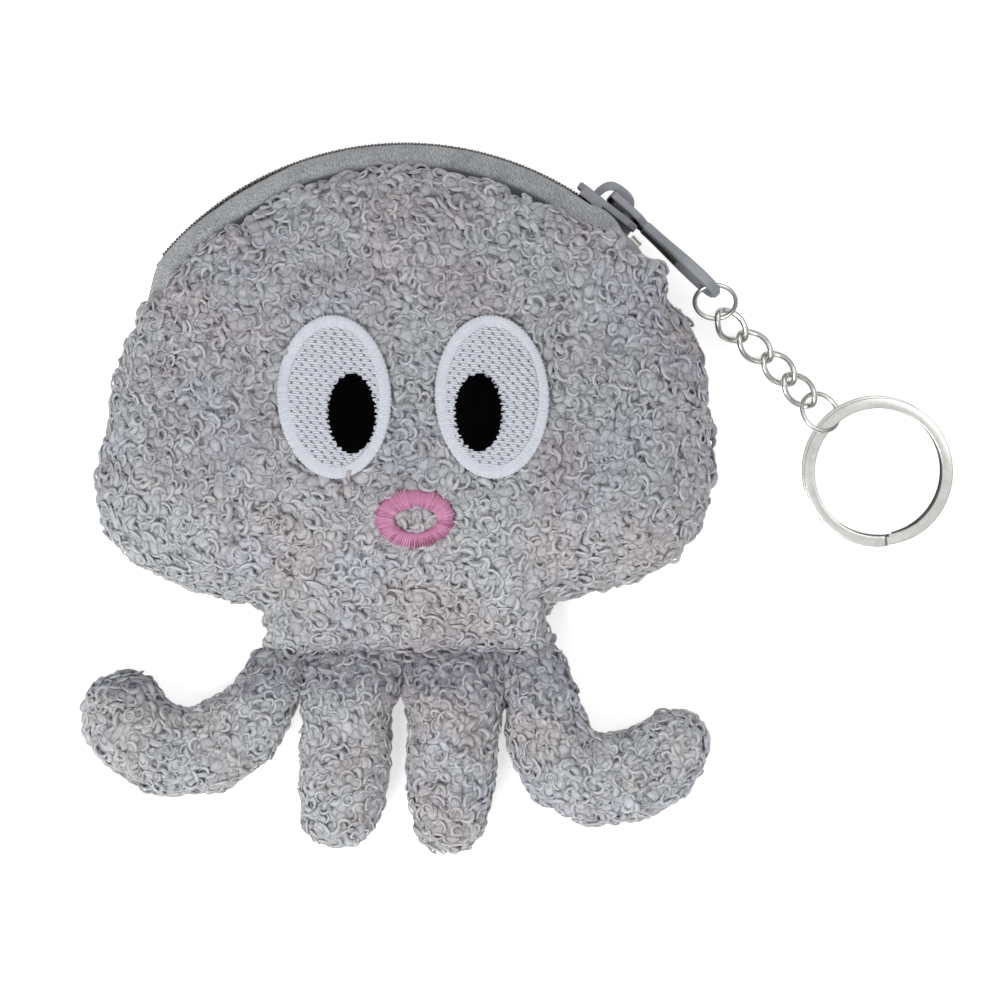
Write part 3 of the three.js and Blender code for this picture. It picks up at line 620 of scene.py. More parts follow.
def tuft(length, width, height, seed):
    """A low uneven cushion of matted fibre."""
    points = []
    for share, rise in TUFT_LEVELS:
        for turn in circle(TUFT_SIDES):
            uneven = 1 + 0.4 * noise.noise(Vector((math.cos(turn), math.sin(turn), seed)) * 1.3)
            reach = share * uneven
            points.append(Vector((reach * length * math.cos(turn), reach * width * math.sin(turn),
                                  rise * height)) * MM)
    faces = bands(len(TUFT_LEVELS), TUFT_SIDES) + [tuple(range(TUFT_SIDES))[::-1]]
    last = len(points) - TUFT_SIDES
    faces += [(last + i, last + (i + 1) % TUFT_SIDES, len(points)) for i in range(TUFT_SIDES)]
    points.append(Vector((0, 0, height)) * MM)
    return points, faces


def lock_collection(name, shapes):
    group = bpy.data.collections.new(name)
    for k, (points, faces) in enumerate(shapes):
        made = hidden(mesh_object(f"{name}_{k}", points, faces, PLUSH))
        # The share of height paints each lock lighter at its top and in painted shade at its root
        add_float(made.data, "curl_lift", [min(1.0, max(0.0, p.z / LIFT_HEIGHT)) for p in points])
        group.objects.link(made)
    return group


# Each tuft: half length, half width, height in mm, seed
TUFTS = lock_collection("tufts", [
    tuft(1.7, 1.3, 0.65, 1.0),
    tuft(1.45, 1.45, 0.6, 5.0),
    tuft(1.9, 1.2, 0.65, 9.0),
    strand(*curl(0.55, 1.2, 0.65, 0.7, 0.1, 7), 0.5),
    strand(*curl(0.7, 1.0, 0.7, 0.6, 0.2, 7), 0.5),
])
# Each curl: turns, radius, height and strand half width in mm, how far it closes in, steps
CURLS = lock_collection("curls", [
    strand(*curl(1.0, 1.05, 0.9, 0.33, 0.2, 10), 0.6),
    strand(*curl(1.35, 1.2, 0.9, 0.3, 0.5, 12), 0.6),
    strand(*curl(0.8, 1.25, 0.95, 0.34, 0.1, 8), 0.6),
    strand(*curl(0.9, 0.95, 1.0, 0.32, 0.2, 8), 0.6),
    strand(*curl(0.5, 1.35, 0.9, 0.42, 0.15, 7), 0.5),
    strand(*curl(0.45, 1.1, 0.85, 0.5, 0.1, 6), 0.45),
])


class Graph:
    """A Geometry Nodes tree under construction."""

    def __init__(self, name, **sizes):
        self.tree = bpy.data.node_groups.new(name, "GeometryNodeTree")
        face = self.tree.interface
        face.new_socket("Geometry", in_out="INPUT", socket_type="NodeSocketGeometry")
        self.identifiers = {}
        for key, kind in sizes.items():
            made = face.new_socket(key, in_out="INPUT", socket_type=f"NodeSocket{kind}")
            self.identifiers[key] = made.identifier
        face.new_socket("Geometry", in_out="OUTPUT", socket_type="NodeSocketGeometry")
        inputs = self.tree.nodes.new("NodeGroupInput").outputs
        self.geometry = inputs[0]
        self.sizes = {key: inputs[key] for key in sizes}
        self.output = self.tree.nodes.new("NodeGroupOutput").inputs[0]

    def node(self, kind, settings=(), out=None, **values):
        """The output socket named out of a new node, or the node itself."""
        made = self.tree.nodes.new(kind)
        for key, setting in dict(settings).items():
            setattr(made, key, setting)
        for key, value in values.items():
            self.plug(self.live(made.inputs, key.replace("_", " ")), value)
        return self.live(made.outputs, out) if out else made

    @staticmethod
    def live(sockets, name):
        return next(s for s in sockets if s.name == name and s.enabled)

    def plug(self, socket, value):
        if isinstance(value, bpy.types.NodeSocket):
            self.tree.links.new(value, socket)
        else:
            socket.default_value = value

    def finish(self, material, *parts):
        """Realises and joins the parts, paints them and sends them out."""
        joined = self.node("GeometryNodeJoinGeometry")
        for part in parts:
            self.tree.links.new(part, joined.inputs[0])
        real = self.node("GeometryNodeRealizeInstances", out="Geometry", Geometry=joined.outputs[0])
        painted = self.node("GeometryNodeSetMaterial", out="Geometry", Geometry=real, Material=material)
        self.plug(self.output, painted)

    def random(self, kind, seed, **limits):
        return self.node("FunctionNodeRandomValue", {"data_type": kind}, out="Value", Seed=seed, **limits)

    def attribute(self, kind, name):
        return self.node("GeometryNodeInputNamedAttribute", {"data_type": kind}, out="Attribute", Name=name)

    def given(self, key):
        """The geometry of the object that comes in as key."""
        return self.node("GeometryNodeObjectInfo", out="Geometry", Object=self.sizes[key])

    def aligned(self, along):
        return self.node(
            "FunctionNodeAlignRotationToVector", {"axis": "X", "pivot_axis": "Z"},
            out="Rotation", Vector=along,
        )

    def turned(self, rotation, angles):
        """A rotation followed by one about its own axes."""
        own = self.node("FunctionNodeEulerToRotation", out="Rotation", Euler=angles)
        return self.node(
            "FunctionNodeRotateRotation", {"rotation_space": "LOCAL"}, out="Rotation",
            Rotation=rotation, Rotate_By=own,
        )

    def instances(self, **values):
        return self.node("GeometryNodeInstanceOnPoints", out="Instances", **values)

    def toned(self, instances, seed):
        """Gives each instance a tone of its own."""
        tone = self.random("FLOAT", seed)
        return self.node(
            "GeometryNodeStoreNamedAttribute", {"data_type": "FLOAT", "domain": "INSTANCE"},
            out="Geometry", Geometry=instances, Name="curl_tone", Value=tone,
        )

    def apply(self, made, name, **sizes):
        modifier = made.modifiers.new(self.tree.name, "NODES")
        modifier.node_group = self.tree
        for key, value in sizes.items():
            modifier[self.identifiers[key]] = value
        return evaluated(made, name)


MOST_ROOTS = 4e6
LEAST_LOCK, MOST_LOCK = (0.8, 0.8, 0.75), (1.2, 1.2, 1.15)
TUFT_LEAN, CURL_LEAN = 0.25, 0.35


def pile_layer(graph, locks, spacing, lean, seed):
    """Locks of one kind rooted over the skin where its pile attribute lets them grow."""
    roots = graph.node(
        "GeometryNodeDistributePointsOnFaces", {"distribute_method": "POISSON"},
        Mesh=graph.geometry, Distance_Min=spacing, Density_Max=MOST_ROOTS,
        Density_Factor=graph.attribute("FLOAT", "pile"), Seed=seed,
    )
    tilt = graph.random(
        "FLOAT_VECTOR", seed, Min=(-lean, -lean, 0.0), Max=(lean, lean, 2 * math.pi))
    turned = graph.turned(graph.live(roots.outputs, "Rotation"), tilt)
    kinds = graph.node(
        "GeometryNodeCollectionInfo", out="Instances",
        Collection=locks, Separate_Children=True, Reset_Children=True,
    )
    kind = graph.random("INT", seed, Min=0, Max=len(locks.objects) - 1)
    size = graph.random("FLOAT_VECTOR", seed, Min=LEAST_LOCK, Max=MOST_LOCK)
    size = graph.node(
        "ShaderNodeVectorMath", {"operation": "SCALE"}, out="Vector",
        Vector=size, Scale=graph.sizes["length"],
    )
    placed = graph.instances(
        Points=graph.live(roots.outputs, "Points"), Instance=kinds, Pick_Instance=True,
        Instance_Index=kind, Rotation=turned, Scale=size,
    )
    return graph.toned(placed, seed)


def pile_graph():
    graph = Graph("pile", tuft_spacing="Float", curl_spacing="Float", length="Float", seed="Int")
    seed = graph.sizes["seed"]
    tufts = pile_layer(graph, TUFTS, graph.sizes["tuft_spacing"], TUFT_LEAN, seed)
    curls = pile_layer(graph, CURLS, graph.sizes["curl_spacing"], CURL_LEAN, seed)
    graph.finish(PLUSH, graph.geometry, tufts, curls)
    return graph


PILE = pile_graph()
TUFT_SPACING = 1.3 * MM
CURL_SPACING = 1.5 * MM
# The bare skin's low tone is painted shade under the locks
SKIN_SHADE_TONE = 0.3


def oval_share(points, oval):
    """How far points lie from an oval's middle: 1 on its edge."""
    x, y, half_width, half_height = [size * MM for size in oval]
    dx, dy = points[:, 0] - x, points[:, 1] - y
    c, s = math.cos(EYE_TILT), math.sin(EYE_TILT)
    return np.hypot((dx * c + dy * s) / half_width, (dy * c - dx * s) / half_height)


def outer_share(mesh, centre):
    """1 where the surface faces away from centre, which is where pile grows."""
    points = coordinates(mesh)
    away = points - np.array(centre)
    away /= np.linalg.norm(away, axis=1)[:, None] + 1e-9
    facing = (away * normals(mesh)).sum(axis=1)
    return np.clip((facing - 0.1) / 0.15, 0, 1)


def press_to_table(mesh, low=0.05 * MM, soft=1.6 * MM):
    """Pile under the purse is pressed flat by its weight and doesn't pass the table."""
    points = coordinates(mesh)
    height = points[:, 2]
    below = height < soft
    span = soft - low
    height[below] = low + span * np.exp((height[below] - soft) / span)
    set_coordinates(mesh, points)


def lift_underside(mesh, rise=0.9 * MM, reach=3 * MM):
    """The skin stays off the table by the thickness of its pressed pile."""
    points = coordinates(mesh)
    share = np.clip(1 - points[:, 2] / reach, 0, 1)
    points[:, 2] += rise * share
    set_coordinates(mesh, points)


def swell(mesh, depth, share):
    """The surface moves outwards by depth times each point's share."""
    points = coordinates(mesh)
    set_coordinates(mesh, points + normals(mesh) * (depth * share)[:, None])


def near_crease(mesh, reach):
    """1 at the crease, falling to 0 at reach from it on either side."""
    away = np.abs(coordinates(mesh)[:, 1] - CREASE_Y) / reach
    return np.clip(1.5 - 1.5 * away, 0, 1)


def press_together(mesh, sides, depth):
    """Lobes touch below the crease: the skin swells towards the neighbours on the given sides."""
    points = coordinates(mesh)
    facing = normals(mesh)[:, 0]
    near = np.clip((points[:, 1] - (CREASE_Y - 10 * MM)) / (3 * MM), 0, 1)
    for side in sides:
        points[:, 0] += side * np.clip(side * facing, 0, 1) * near * depth
    set_coordinates(mesh, points)


def nudge(mesh, pulls):
    """Local pulls of the cloth: each is a middle, a reach and a shift, in mm, seen from above."""
    points = coordinates(mesh)
    for x, y, reach, dx, dy in pulls:
        away = np.hypot(points[:, 0] - x * MM, points[:, 1] - y * MM) / (reach * MM)
        points[:, :2] += np.exp(-away ** 2)[:, None] * np.array((dx, dy)) * MM
    set_coordinates(mesh, points)


def grow_pile(skin, name, pile, length, seed, thinned=1.0):
    mesh = skin.data
    add_float(mesh, "pile", pile)
    # The bare skin, with a low tone and no height, takes the painted shade
    add_float(mesh, "curl_tone", np.full(len(mesh.vertices), SKIN_SHADE_TONE))
    add_float(mesh, "curl_lift", np.zeros(len(mesh.vertices)))
    made = PILE.apply(
        skin, name, tuft_spacing=TUFT_SPACING * thinned, curl_spacing=CURL_SPACING * thinned,
        length=length, seed=seed,
    )
    shade_smooth(made.data)
    press_to_table(made.data)
    return made


# Pouch skins
NECK_AND_CHEEKS = [
    (-25, -37.2, 5.0, 2.0, 0.0), (25.5, -36.5, 4.5, -2.0, 0.0), (-31, -33, 4.5, 0.0, -0.7),
    (45, 17.5, 3.5, -1.75, -0.8), (-46, 13, 4.5, 0.5, 0.0),
]
# The pile laps over the tape on both sides of the top stops
ZIP_LAP = [(34.0, 26.5, 3.3, 2.8, 2.9), (39.2, 21.6, 4.0, 3.3, 2.6)]
ARM_PULLS = {
    1: [
        (-41, -47.5, 4.5, 0.0, 1.6), (-35.5, -51, 4.0, 0.3, 1.2), (-30, -48, 4.5, 0.7, -0.7),
        (-27, -44, 4.0, 0.8, -0.2), (-20.5, -57.5, 6.0, 0.9, -0.5), (-49, -59, 5.0, -0.7, -0.6),
    ],
    2: [(-13, -69, 6.0, -0.5, -0.5)],
    3: [(12.5, -58, 4.0, -0.5, 0.0)],
    4: [(33.5, -56, 4.0, 0.0, 2.2), (21, -58, 3.5, 0.3, 0.0), (20.5, -64, 4.0, -0.6, -0.4)],
}
front_skin = soft_copy(["front_panel"], "front_skin", 0.9 * MM, 6, PLUSH)
swell(front_skin.data, 0.9 * MM, near_crease(front_skin.data, 7 * MM))
nudge(front_skin.data, NECK_AND_CHEEKS + ZIP_LAP)
lump(front_skin, 14 * MM, 0.9 * MM, 3)
FACE = BVHTree.FromObject(front_skin, bpy.context.evaluated_depsgraph_get())
lump(front_skin, 3.4 * MM, 0.4 * MM, 4)


def face_height(x, y):
    hit = FACE.ray_cast(Vector((x, y, 0.1)), Vector((0, 0, -1)))[0]
    return hit.z if hit else 0.0


face_points = coordinates(front_skin.data)
face_pile = outer_share(front_skin.data, HEAD_CENTRE)
on_face = face_points[:, 2] > HEAD_CENTRE.z
for oval in EYES.values():
    face_pile[on_face & (oval_share(face_points, oval) < 1.02)] = 0
on_mouth = (oval_share(face_points, MOUTH_OUTER) < 0.92) & (oval_share(face_points, MOUTH_INNER) > 0.9)
face_pile[on_face & on_mouth] = 0
front_plush = grow_pile(front_skin, "front_plush", face_pile, 1.0, 11)
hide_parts("front_panel")
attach(front_plush, "pouch")

back_skin = soft_copy(["back_panel"], "back_skin", 0.9 * MM, 6, PLUSH)
nudge(back_skin.data, NECK_AND_CHEEKS)
lump(back_skin, 14 * MM, 0.5 * MM, 7)
lift_underside(back_skin.data)
back_plush = grow_pile(back_skin, "back_plush", outer_share(back_skin.data, HEAD_CENTRE), 1.0, 12, 1.1)
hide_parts("back_panel")
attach(back_plush, "pouch")

# Linings
for side in ("front", "back"):
    lining = soft_copy([f"{side}_lining"], f"{side}_lining_cloth", 0.45 * MM, 3, LINING)
    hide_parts(f"{side}_lining")
    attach(lining, "pouch")

# Tentacles: skin and pile, swollen towards the crease, and the filling rides inside
NEIGHBOURS = {1: (1,), 2: (-1, 1), 3: (-1, 1), 4: (-1,)}
for number, sides in NEIGHBOURS.items():
    name = f"tentacle_{number}"
    shells = [f"{name}_front", f"{name}_back", f"{name}_filling"]
    skin = soft_copy(shells, f"{name}_skin", 0.75 * MM, 5, PLUSH)
    nudge(skin.data, ARM_PULLS[number])
    swell(skin.data, 0.7 * MM, near_crease(skin.data, 8 * MM))
    press_together(skin.data, sides, 0.9 * MM)
    lump(skin, 9 * MM, 0.7 * MM, 20 + number)
    lump(skin, 3.2 * MM, 0.3 * MM, 24 + number)
    lift_underside(skin.data, 0.7 * MM)
    plush = grow_pile(skin, f"{name}_plush", np.ones(len(skin.data.vertices)), 0.95, 30 + number)
    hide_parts(f"{name}_front", f"{name}_back")
    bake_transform(plush)
    fill = soft_copy([f"{name}_filling"], f"{name}_wadding", 0.7 * MM, 3, FILL)
    lump(fill, 3 * MM, 0.5 * MM, 40 + number)
    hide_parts(f"{name}_filling")
    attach(fill, name)


# Zip
def arc_point(angle, radius, height):
    return Vector((
        ZIP_CENTRE.x + radius * math.cos(angle),
        ZIP_CENTRE.y + radius * math.sin(angle),
        height,
    ))


def smooth_line(corners, per_span):
    """Points of a Catmull-Rom curve through corners."""
    ends = [corners[0] * 2 - corners[1], *corners, corners[-1] * 2 - corners[-2]]
    points = []
    for k in range(1, len(ends) - 2):
        a, b, c, d = ends[k - 1:k + 3]
        for i in range(per_span):
            t = i / per_span
            points.append(0.5 * (2 * b + (c - a) * t + (2 * a - 5 * b + 4 * c - d) * t * t
                                 + (3 * b - a - 3 * c + d) * t ** 3))
    points.append(corners[-1].copy())
    return points


TAPE_THICKNESS = 0.5 * MM
TAPE_STEPS = 120
TAPE_RIPPLE = 0.06 * MM
TAPE_DIP = math.radians(140.5)
TAPE_LEFT_END = math.radians(149.5)
TAPE_RIGHT_DIP = math.radians(42.5)
TAPE_RIGHT_END = math.radians(33)
TAPE_SINK = 2.9 * MM
TAPE_RIGHT_SHARE = 0.6
# Where the tapes' edges are drawn in off the coil, or out to the slider: middle, reach, depth
DRAWN_IN = [
    (math.radians(121), math.radians(9), 0.3 * MM),
    (math.radians(50.5), math.radians(3), -0.75 * MM),
]
SLOT_LEFT_END = math.radians(143.2)
SLOT_RIGHT_END = math.radians(40.5)
SLOT_CLOSING = math.radians(2)
SLOT_LIP = 3 * MM
TAPE_MIDDLE = Vector((40 * MM, ZIP_CENTRE.z))


def tape_section(corners):
    """A fold's closed outline of radius and height, and the way across it at each point."""
    line = smooth_line([Vector((radius, height)) * MM for radius, height in corners], 5)
    across = [0.0]
    for a, b in zip(line, line[1:]):
        across.append(across[-1] + (b - a).length)
    inner = []
    for k, place in enumerate(line):
        along = (line[min(k + 1, len(line) - 1)] - line[max(k - 1, 0)]).normalized()
        side = Vector((along.y, -along.x))
        inward = side if side.dot(TAPE_MIDDLE - place) > 0 else -side
        inner.append(place + inward * TAPE_THICKNESS)
    return line + inner[::-1], across + across[::-1]


def tape_piece(name, corners, start, end):
    """A folded tape round the head's arc, whose ends run out under the pile."""
    section, across = tape_section(corners)
    points, uvs = [], []
    for k in range(TAPE_STEPS + 1):
        angle = start + (end - start) * k / TAPE_STEPS
        left = (angle - TAPE_DIP) / (TAPE_LEFT_END - TAPE_DIP)
        right = (TAPE_RIGHT_DIP - angle) / (TAPE_RIGHT_DIP - TAPE_RIGHT_END)
        sunk = max(0.0, left, right * TAPE_RIGHT_SHARE) ** 1.1
        closing = min(1.0, max(0.0, angle - SLOT_LEFT_END, SLOT_RIGHT_END - angle) / SLOT_CLOSING)
        bare = sum(depth * math.exp(-((angle - middle) / reach) ** 4) for middle, reach, depth in DRAWN_IN)
        for place, v in zip(section, across):
            ripple = TAPE_RIPPLE * noise.noise(Vector((angle * 25, v * 300, 1.7))) - bare
            inward = (TAPE_MIDDLE - place).normalized() * (TAPE_SINK * sunk)
            shut = (ZIP_CENTRE.z - place.y) * closing * max(0.0, 1 - v / SLOT_LIP)
            points.append(arc_point(angle, place.x + ripple + inward.x, place.y + inward.y + shut))
            uvs.append(((angle - start) * ZIP_RADIUS, v))
    made = mesh_object(name, points, tube(TAPE_STEPS + 1, len(section)), TAPE)
    lay_uv(made.data, "tape", uvs)
    return made


FRONT_FOLD = [(52.7, 9.9), (52.7, 11.7), (52.1, 13.1), (50.7, 14.2), (48.6, 14.95), (45.4, 14.95)]
BACK_FOLD = [(52.7, 5.3), (52.7, 3.4), (52.0, 2.6), (50.6, 2.45), (48.6, 2.4), (45.4, 2.4)]
for side, fold in (("front", FRONT_FOLD), ("back", BACK_FOLD)):
    tape = tape_piece(f"{side}_zip_tape", fold, TAPE_LEFT_END, TAPE_RIGHT_END)
    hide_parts(f"{side}_tape")
    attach(tape, "pouch")


# A tooth's outline in mm, and its levels: height in mm and share of the outline
TOOTH_SECTION = [(-0.25, -0.55), (0.25, -0.55), (0.3, 0.25), (0.18, 0.62), (-0.18, 0.62), (-0.3, 0.25)]
TOOTH_LEVELS = [(-0.62, 0.82), (0.0, 1.0), (0.9, 1.0), (1.5, 0.86)]


def coil_tooth():
    """One loop of the coil along x: a rounded nose with a head that locks past its neighbour."""
    points = [Vector((x * s, y * s, z)) * MM for z, s in TOOTH_LEVELS for x, y in TOOTH_SECTION]
    faces = tube(len(TOOTH_LEVELS), len(TOOTH_SECTION))
    return hidden(mesh_object("coil_tooth", points, faces, NYLON))


def arc_line(name, radius, height, start, end, steps=200):
    """The middle line of one row of teeth, as edges round the head's arc."""
    points = [arc_point(start + (end - start) * k / steps, radius, height) for k in range(steps + 1)]
    return edges_object(name, points, [(k, k + 1) for k in range(steps)])


def coil_graph():
    """Teeth at an even pitch along a line, each with its x axis along the line and z upright."""
    graph = Graph("coil", tooth="Object", pitch="Float", roll="Float")
    line = graph.node("GeometryNodeMeshToCurve", out="Curve", Mesh=graph.geometry)
    spots = graph.node(
        "GeometryNodeCurveToPoints", {"mode": "LENGTH"}, Curve=line, Length=graph.sizes["pitch"])
    roll = graph.node("ShaderNodeCombineXYZ", out="Vector", X=graph.sizes["roll"])
    placed = graph.instances(
        Points=graph.live(spots.outputs, "Points"), Instance=graph.given("tooth"),
        Rotation=graph.turned(graph.aligned(graph.live(spots.outputs, "Tangent")), roll),
    )
    graph.finish(NYLON, placed)
    return graph


COIL = coil_graph()
TOOTH = coil_tooth()
TEETH_PITCH = 1.1 * MM
TEETH_RADIUS = ZIP_RADIUS - 0.64 * MM
TEETH_START = ZIP_LEFT - math.radians(2.8)
TEETH_END = SLIDER_AT - math.radians(2.6)
HALF_STEP = TEETH_PITCH / 2 / TEETH_RADIUS
# Rows: start and end of each line, and the turn about it that stands the teeth on their own tape
COIL_ROWS = {
    "front": (TEETH_START, TEETH_END, 0.0),
    "back": (TEETH_END + HALF_STEP, TEETH_START - HALF_STEP, math.pi),
}
for side, (start, end, roll) in COIL_ROWS.items():
    line = arc_line(f"{side}_coil_line", TEETH_RADIUS, ZIP_CENTRE.z, start, end)
    row = COIL.apply(line, f"{side}_coil", tooth=TOOTH, pitch=TEETH_PITCH, roll=roll)
    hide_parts(f"{side}_teeth")
    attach(row, "pouch")


# Metal and moulded pieces that keep their solids' shape, with eased edges
FLAT_WITHIN, SHARP_FROM = math.radians(1), math.radians(28)
TOWARDS = 0.9
RECESS_SHARE = 0.7
RECESS_RIM, RECESS_DEPTH = 0.12 * MM, 0.2 * MM
PULL_ROLL = math.radians(-12)
# How far each stop is tucked in towards the purse's middle; below zero it stands out
STOP_TUCKS = {"bottom_stop": 0.5 * MM, "front_top_stop": -0.4 * MM, "back_top_stop": -0.4 * MM}


def eased(name, material, bevel):
    made = welded([name], f"{name}_piece")
    modify(made, "DECIMATE", decimate_type="DISSOLVE", angle_limit=FLAT_WITHIN)
    modify(made, "BEVEL", width=bevel, segments=2, limit_method="ANGLE", angle_limit=SHARP_FROM)
    made = evaluated(made, f"{name}_piece")
    paint(made.data, material)
    modify(made, "WEIGHTED_NORMAL", keep_sharp=True)
    return evaluated(made, f"{name}_piece")


def rolled(made, start, end, angle):
    """A loose piece lies turned a little about its own length."""
    axis = (end - start).normalized()
    turn = Matrix.Translation(start) @ Matrix.Rotation(angle, 4, axis) @ Matrix.Translation(-start)
    made.data.transform(turn)


def dark_recess(made, start, end, inward):
    """The pull's side towards the purse is hollowed, up to the boss at its end, and the hollow is painted
    dark as shade.
    """
    run = end - start
    stop = start + run * RECESS_SHARE
    towards = (inward - run * inward.dot(run) / run.length_squared).normalized()
    with editing(made.data) as bm:
        bmesh.ops.triangulate(bm, faces=[face for face in bm.faces if face.normal.dot(towards) > TOWARDS])
        whole = [*bm.verts, *bm.edges, *bm.faces]
        bmesh.ops.bisect_plane(bm, geom=whole, plane_co=stop, plane_no=run.normalized())
        chosen = [face for face in bm.faces if face.normal.dot(towards) > TOWARDS
                  and (face.calc_center_median() - stop).dot(run) < 0]
        bmesh.ops.inset_region(bm, faces=chosen, thickness=RECESS_RIM, depth=-RECESS_DEPTH)
        # The hollow's faces take the painted shade
        for face in chosen:
            face.material_index = 1
    made.data.materials.append(RECESS_SHADE)


for name, slot_name, body, material, bevel in (
    ("slider", "slider_paint", "slider", SATIN, 0.12 * MM),
    ("pull_tab", "slider_paint", "pull", SATIN, 0.14 * MM),
    ("bottom_stop", "zip_teeth", "pouch", NYLON, 0.2 * MM),
    ("front_top_stop", "nickel", "pouch", NICKEL, 0.08 * MM),
    ("back_top_stop", "nickel", "pouch", NICKEL, 0.08 * MM),
):
    piece = eased(name, material, bevel)
    if name == "pull_tab":
        start, end = pivots["pull_swing"], pivots["pull_ring_swing"]
        dark_recess(piece, start, end, (ZIP_CENTRE - start).normalized())
        rolled(piece, start, end, PULL_ROLL)
    if name in STOP_TUCKS:
        inward = (ZIP_CENTRE - sum(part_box(name), Vector()) / 2) * Vector((1, 1, 0))
        piece.data.transform(Matrix.Translation(inward.normalized() * STOP_TUCKS[name]))
    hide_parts(name)
    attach(piece, body)


# Chain: each loop takes its place from its solid, along that solid's own axes
WIRE_SIDES = 10
JUMP_STEPS, LINK_STEPS = 64, 56
RING_TURNS, RING_STEPS = 2, 90
RING_OPENING = 0.12
RING_EASE = 0.16 * MM


def corners_of(name):
    """A node's points, each once."""
    return np.unique(np.round(coordinates(nodes[name].data), 7), axis=0)


def axes_of(name):
    """A node's middle, and its longest, middle and shortest axes as a right-handed frame."""
    points = corners_of(name)
    middle = points.mean(axis=0)
    _, _, rows = np.linalg.svd(points - middle)
    if np.linalg.det(rows) < 0:
        rows[2] = -rows[2]
    return Vector(middle), [Vector(row) for row in rows]


def wire_loop(name, line, wire):
    """A closed loop of round wire along a line."""
    count = len(line)
    middle = sum(line, Vector()) / count
    points = []
    for k, place in enumerate(line):
        along = (line[(k + 1) % count] - line[k - 1]).normalized()
        out = place - middle
        out = (out - along * out.dot(along)).normalized()
        across = along.cross(out)
        for turn in circle(WIRE_SIDES):
            points.append(place + (out * math.cos(turn) + across * math.sin(turn)) * (wire / 2))
    return mesh_object(name, points, bands(count, WIRE_SIDES, closed=True), NICKEL)


def jump_ring(node, name):
    middle, (a, b, _) = axes_of(node)
    line = [middle + (a * math.cos(t) + b * math.sin(t)) * JUMP_RADIUS for t in circle(JUMP_STEPS)]
    return wire_loop(name, line, JUMP_WIRE)


def curb_link(node, name):
    middle, (a, b, c) = axes_of(node)
    line = []
    for turn in circle(LINK_STEPS):
        twist = LINK_TWIST * math.cos(turn)
        across = LINK_HALF_WIDTH * math.sin(turn)
        line.append(middle + a * (LINK_HALF_LENGTH * math.cos(turn))
                    + b * (across * math.cos(twist)) + c * (across * math.sin(twist)))
    return wire_loop(name, line, LINK_WIRE)


def split_ring(node, name):
    """Two turns of one flat, rounded strip, with the step between them and painted shade on the lower
    turn's inner wall.
    """
    points = corners_of(node)
    _, (_, _, normal) = axes_of(node)
    normal = normal if normal.z > 0 else -normal
    low, high = points.min(axis=0), points.max(axis=0)
    middle = Vector((low + high) / 2)
    a = Vector((math.cos(KEY_RING_STEP_AT), math.sin(KEY_RING_STEP_AT), 0))
    a = (a - normal * a.dot(normal)).normalized()
    b = normal.cross(a)
    total = 2 * math.pi * RING_TURNS - RING_OPENING
    half_band, half_leaf = KEY_RING_BAND / 2, KEY_RING_LEAF / 2
    section = []
    for sx, sz in ((1, -1), (1, 1), (-1, 1), (-1, -1)):
        corner = Vector((sx * (half_band - RING_EASE), sz * (half_leaf - RING_EASE)))
        first = math.atan2(sz, sx) - math.pi / 4
        for i in range(3):
            turn = first + i * math.pi / 4
            section.append(corner + Vector((math.cos(turn), math.sin(turn))) * RING_EASE)
        if (sx, sz) == (1, 1):
            rim = len(section)
            section.append(Vector((KEY_RING_SHADED_RIM - half_band, half_leaf)))
    rings = []
    for k in range(RING_TURNS * RING_STEPS + 1):
        turn = total * k / (RING_TURNS * RING_STEPS)
        share = min(1, max(0, turn - total / 2 + 0.5))
        rise = share * share * (3 - 2 * share) * KEY_RING_PITCH - KEY_RING_PITCH / 2
        out = a * math.cos(turn) + b * math.sin(turn)
        reach = KEY_RING_RADIUS - half_band
        core = middle + KEY_RING_LEAN * share
        rings += [core + out * (reach + p.x) + normal * (rise + p.y) for p in section]
    count = len(section)
    made = mesh_object(name, rings, tube(RING_TURNS * RING_STEPS + 1, count), NICKEL)
    # The lower turn's inner wall and the rim of its top are painted dark as the shade between the turns
    made.data.materials.append(RING_GAP_SHADE)
    for k in range(RING_STEPS):
        for i in range(rim, count - 2):
            made.data.polygons[k * count + i].material_index = 1
    return made


CHAIN = [("pull_jump_ring", "pull_ring", jump_ring)]
CHAIN += [(f"curb_link_{k}", f"link_{k}", curb_link) for k in range(1, 5)]
CHAIN += [("key_jump_ring", "chain_end_ring", jump_ring), ("key_ring", "key_ring", split_ring)]
for node, body, make in CHAIN:
    loop_piece = make(node, f"{node}_wire")
    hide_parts(node)
    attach(loop_piece, body)


# Embroidery
def oval_point(oval, turn, scale=1.0):
    x, y, half_width, half_height = oval
    p = Vector((half_width * scale * math.cos(turn), half_height * scale * math.sin(turn)))
    c, s = math.cos(EYE_TILT), math.sin(EYE_TILT)
    return Vector((x + p.x * c - p.y * s, y + p.x * s + p.y * c)) * MM


STITCH_STEPS = 6
STITCH_SIDES = 5
STITCH_SEED = 5
# The pads' low tone is painted shade where they show between the stitches
PAD_SHADE_TONE = 0.2
FILL_SLANT = math.radians(-5)
FILL_LAP = 0.3 * MM
NEEDLE_HOLE = 0.3 * MM
EYE_LIFT = 0.25 * MM
EYE_PAD = 0.75 * MM
EYE_BORDER = 2 * MM
PUPIL_LIFT = EYE_LIFT + EYE_PAD + 0.25 * MM
MOUTH_LIFT = 0.25 * MM
MOUTH_PAD_SIDES = 48
MOUTH_STITCHES = 86
MOUTH_STITCH_LIFT = 0.55 * MM


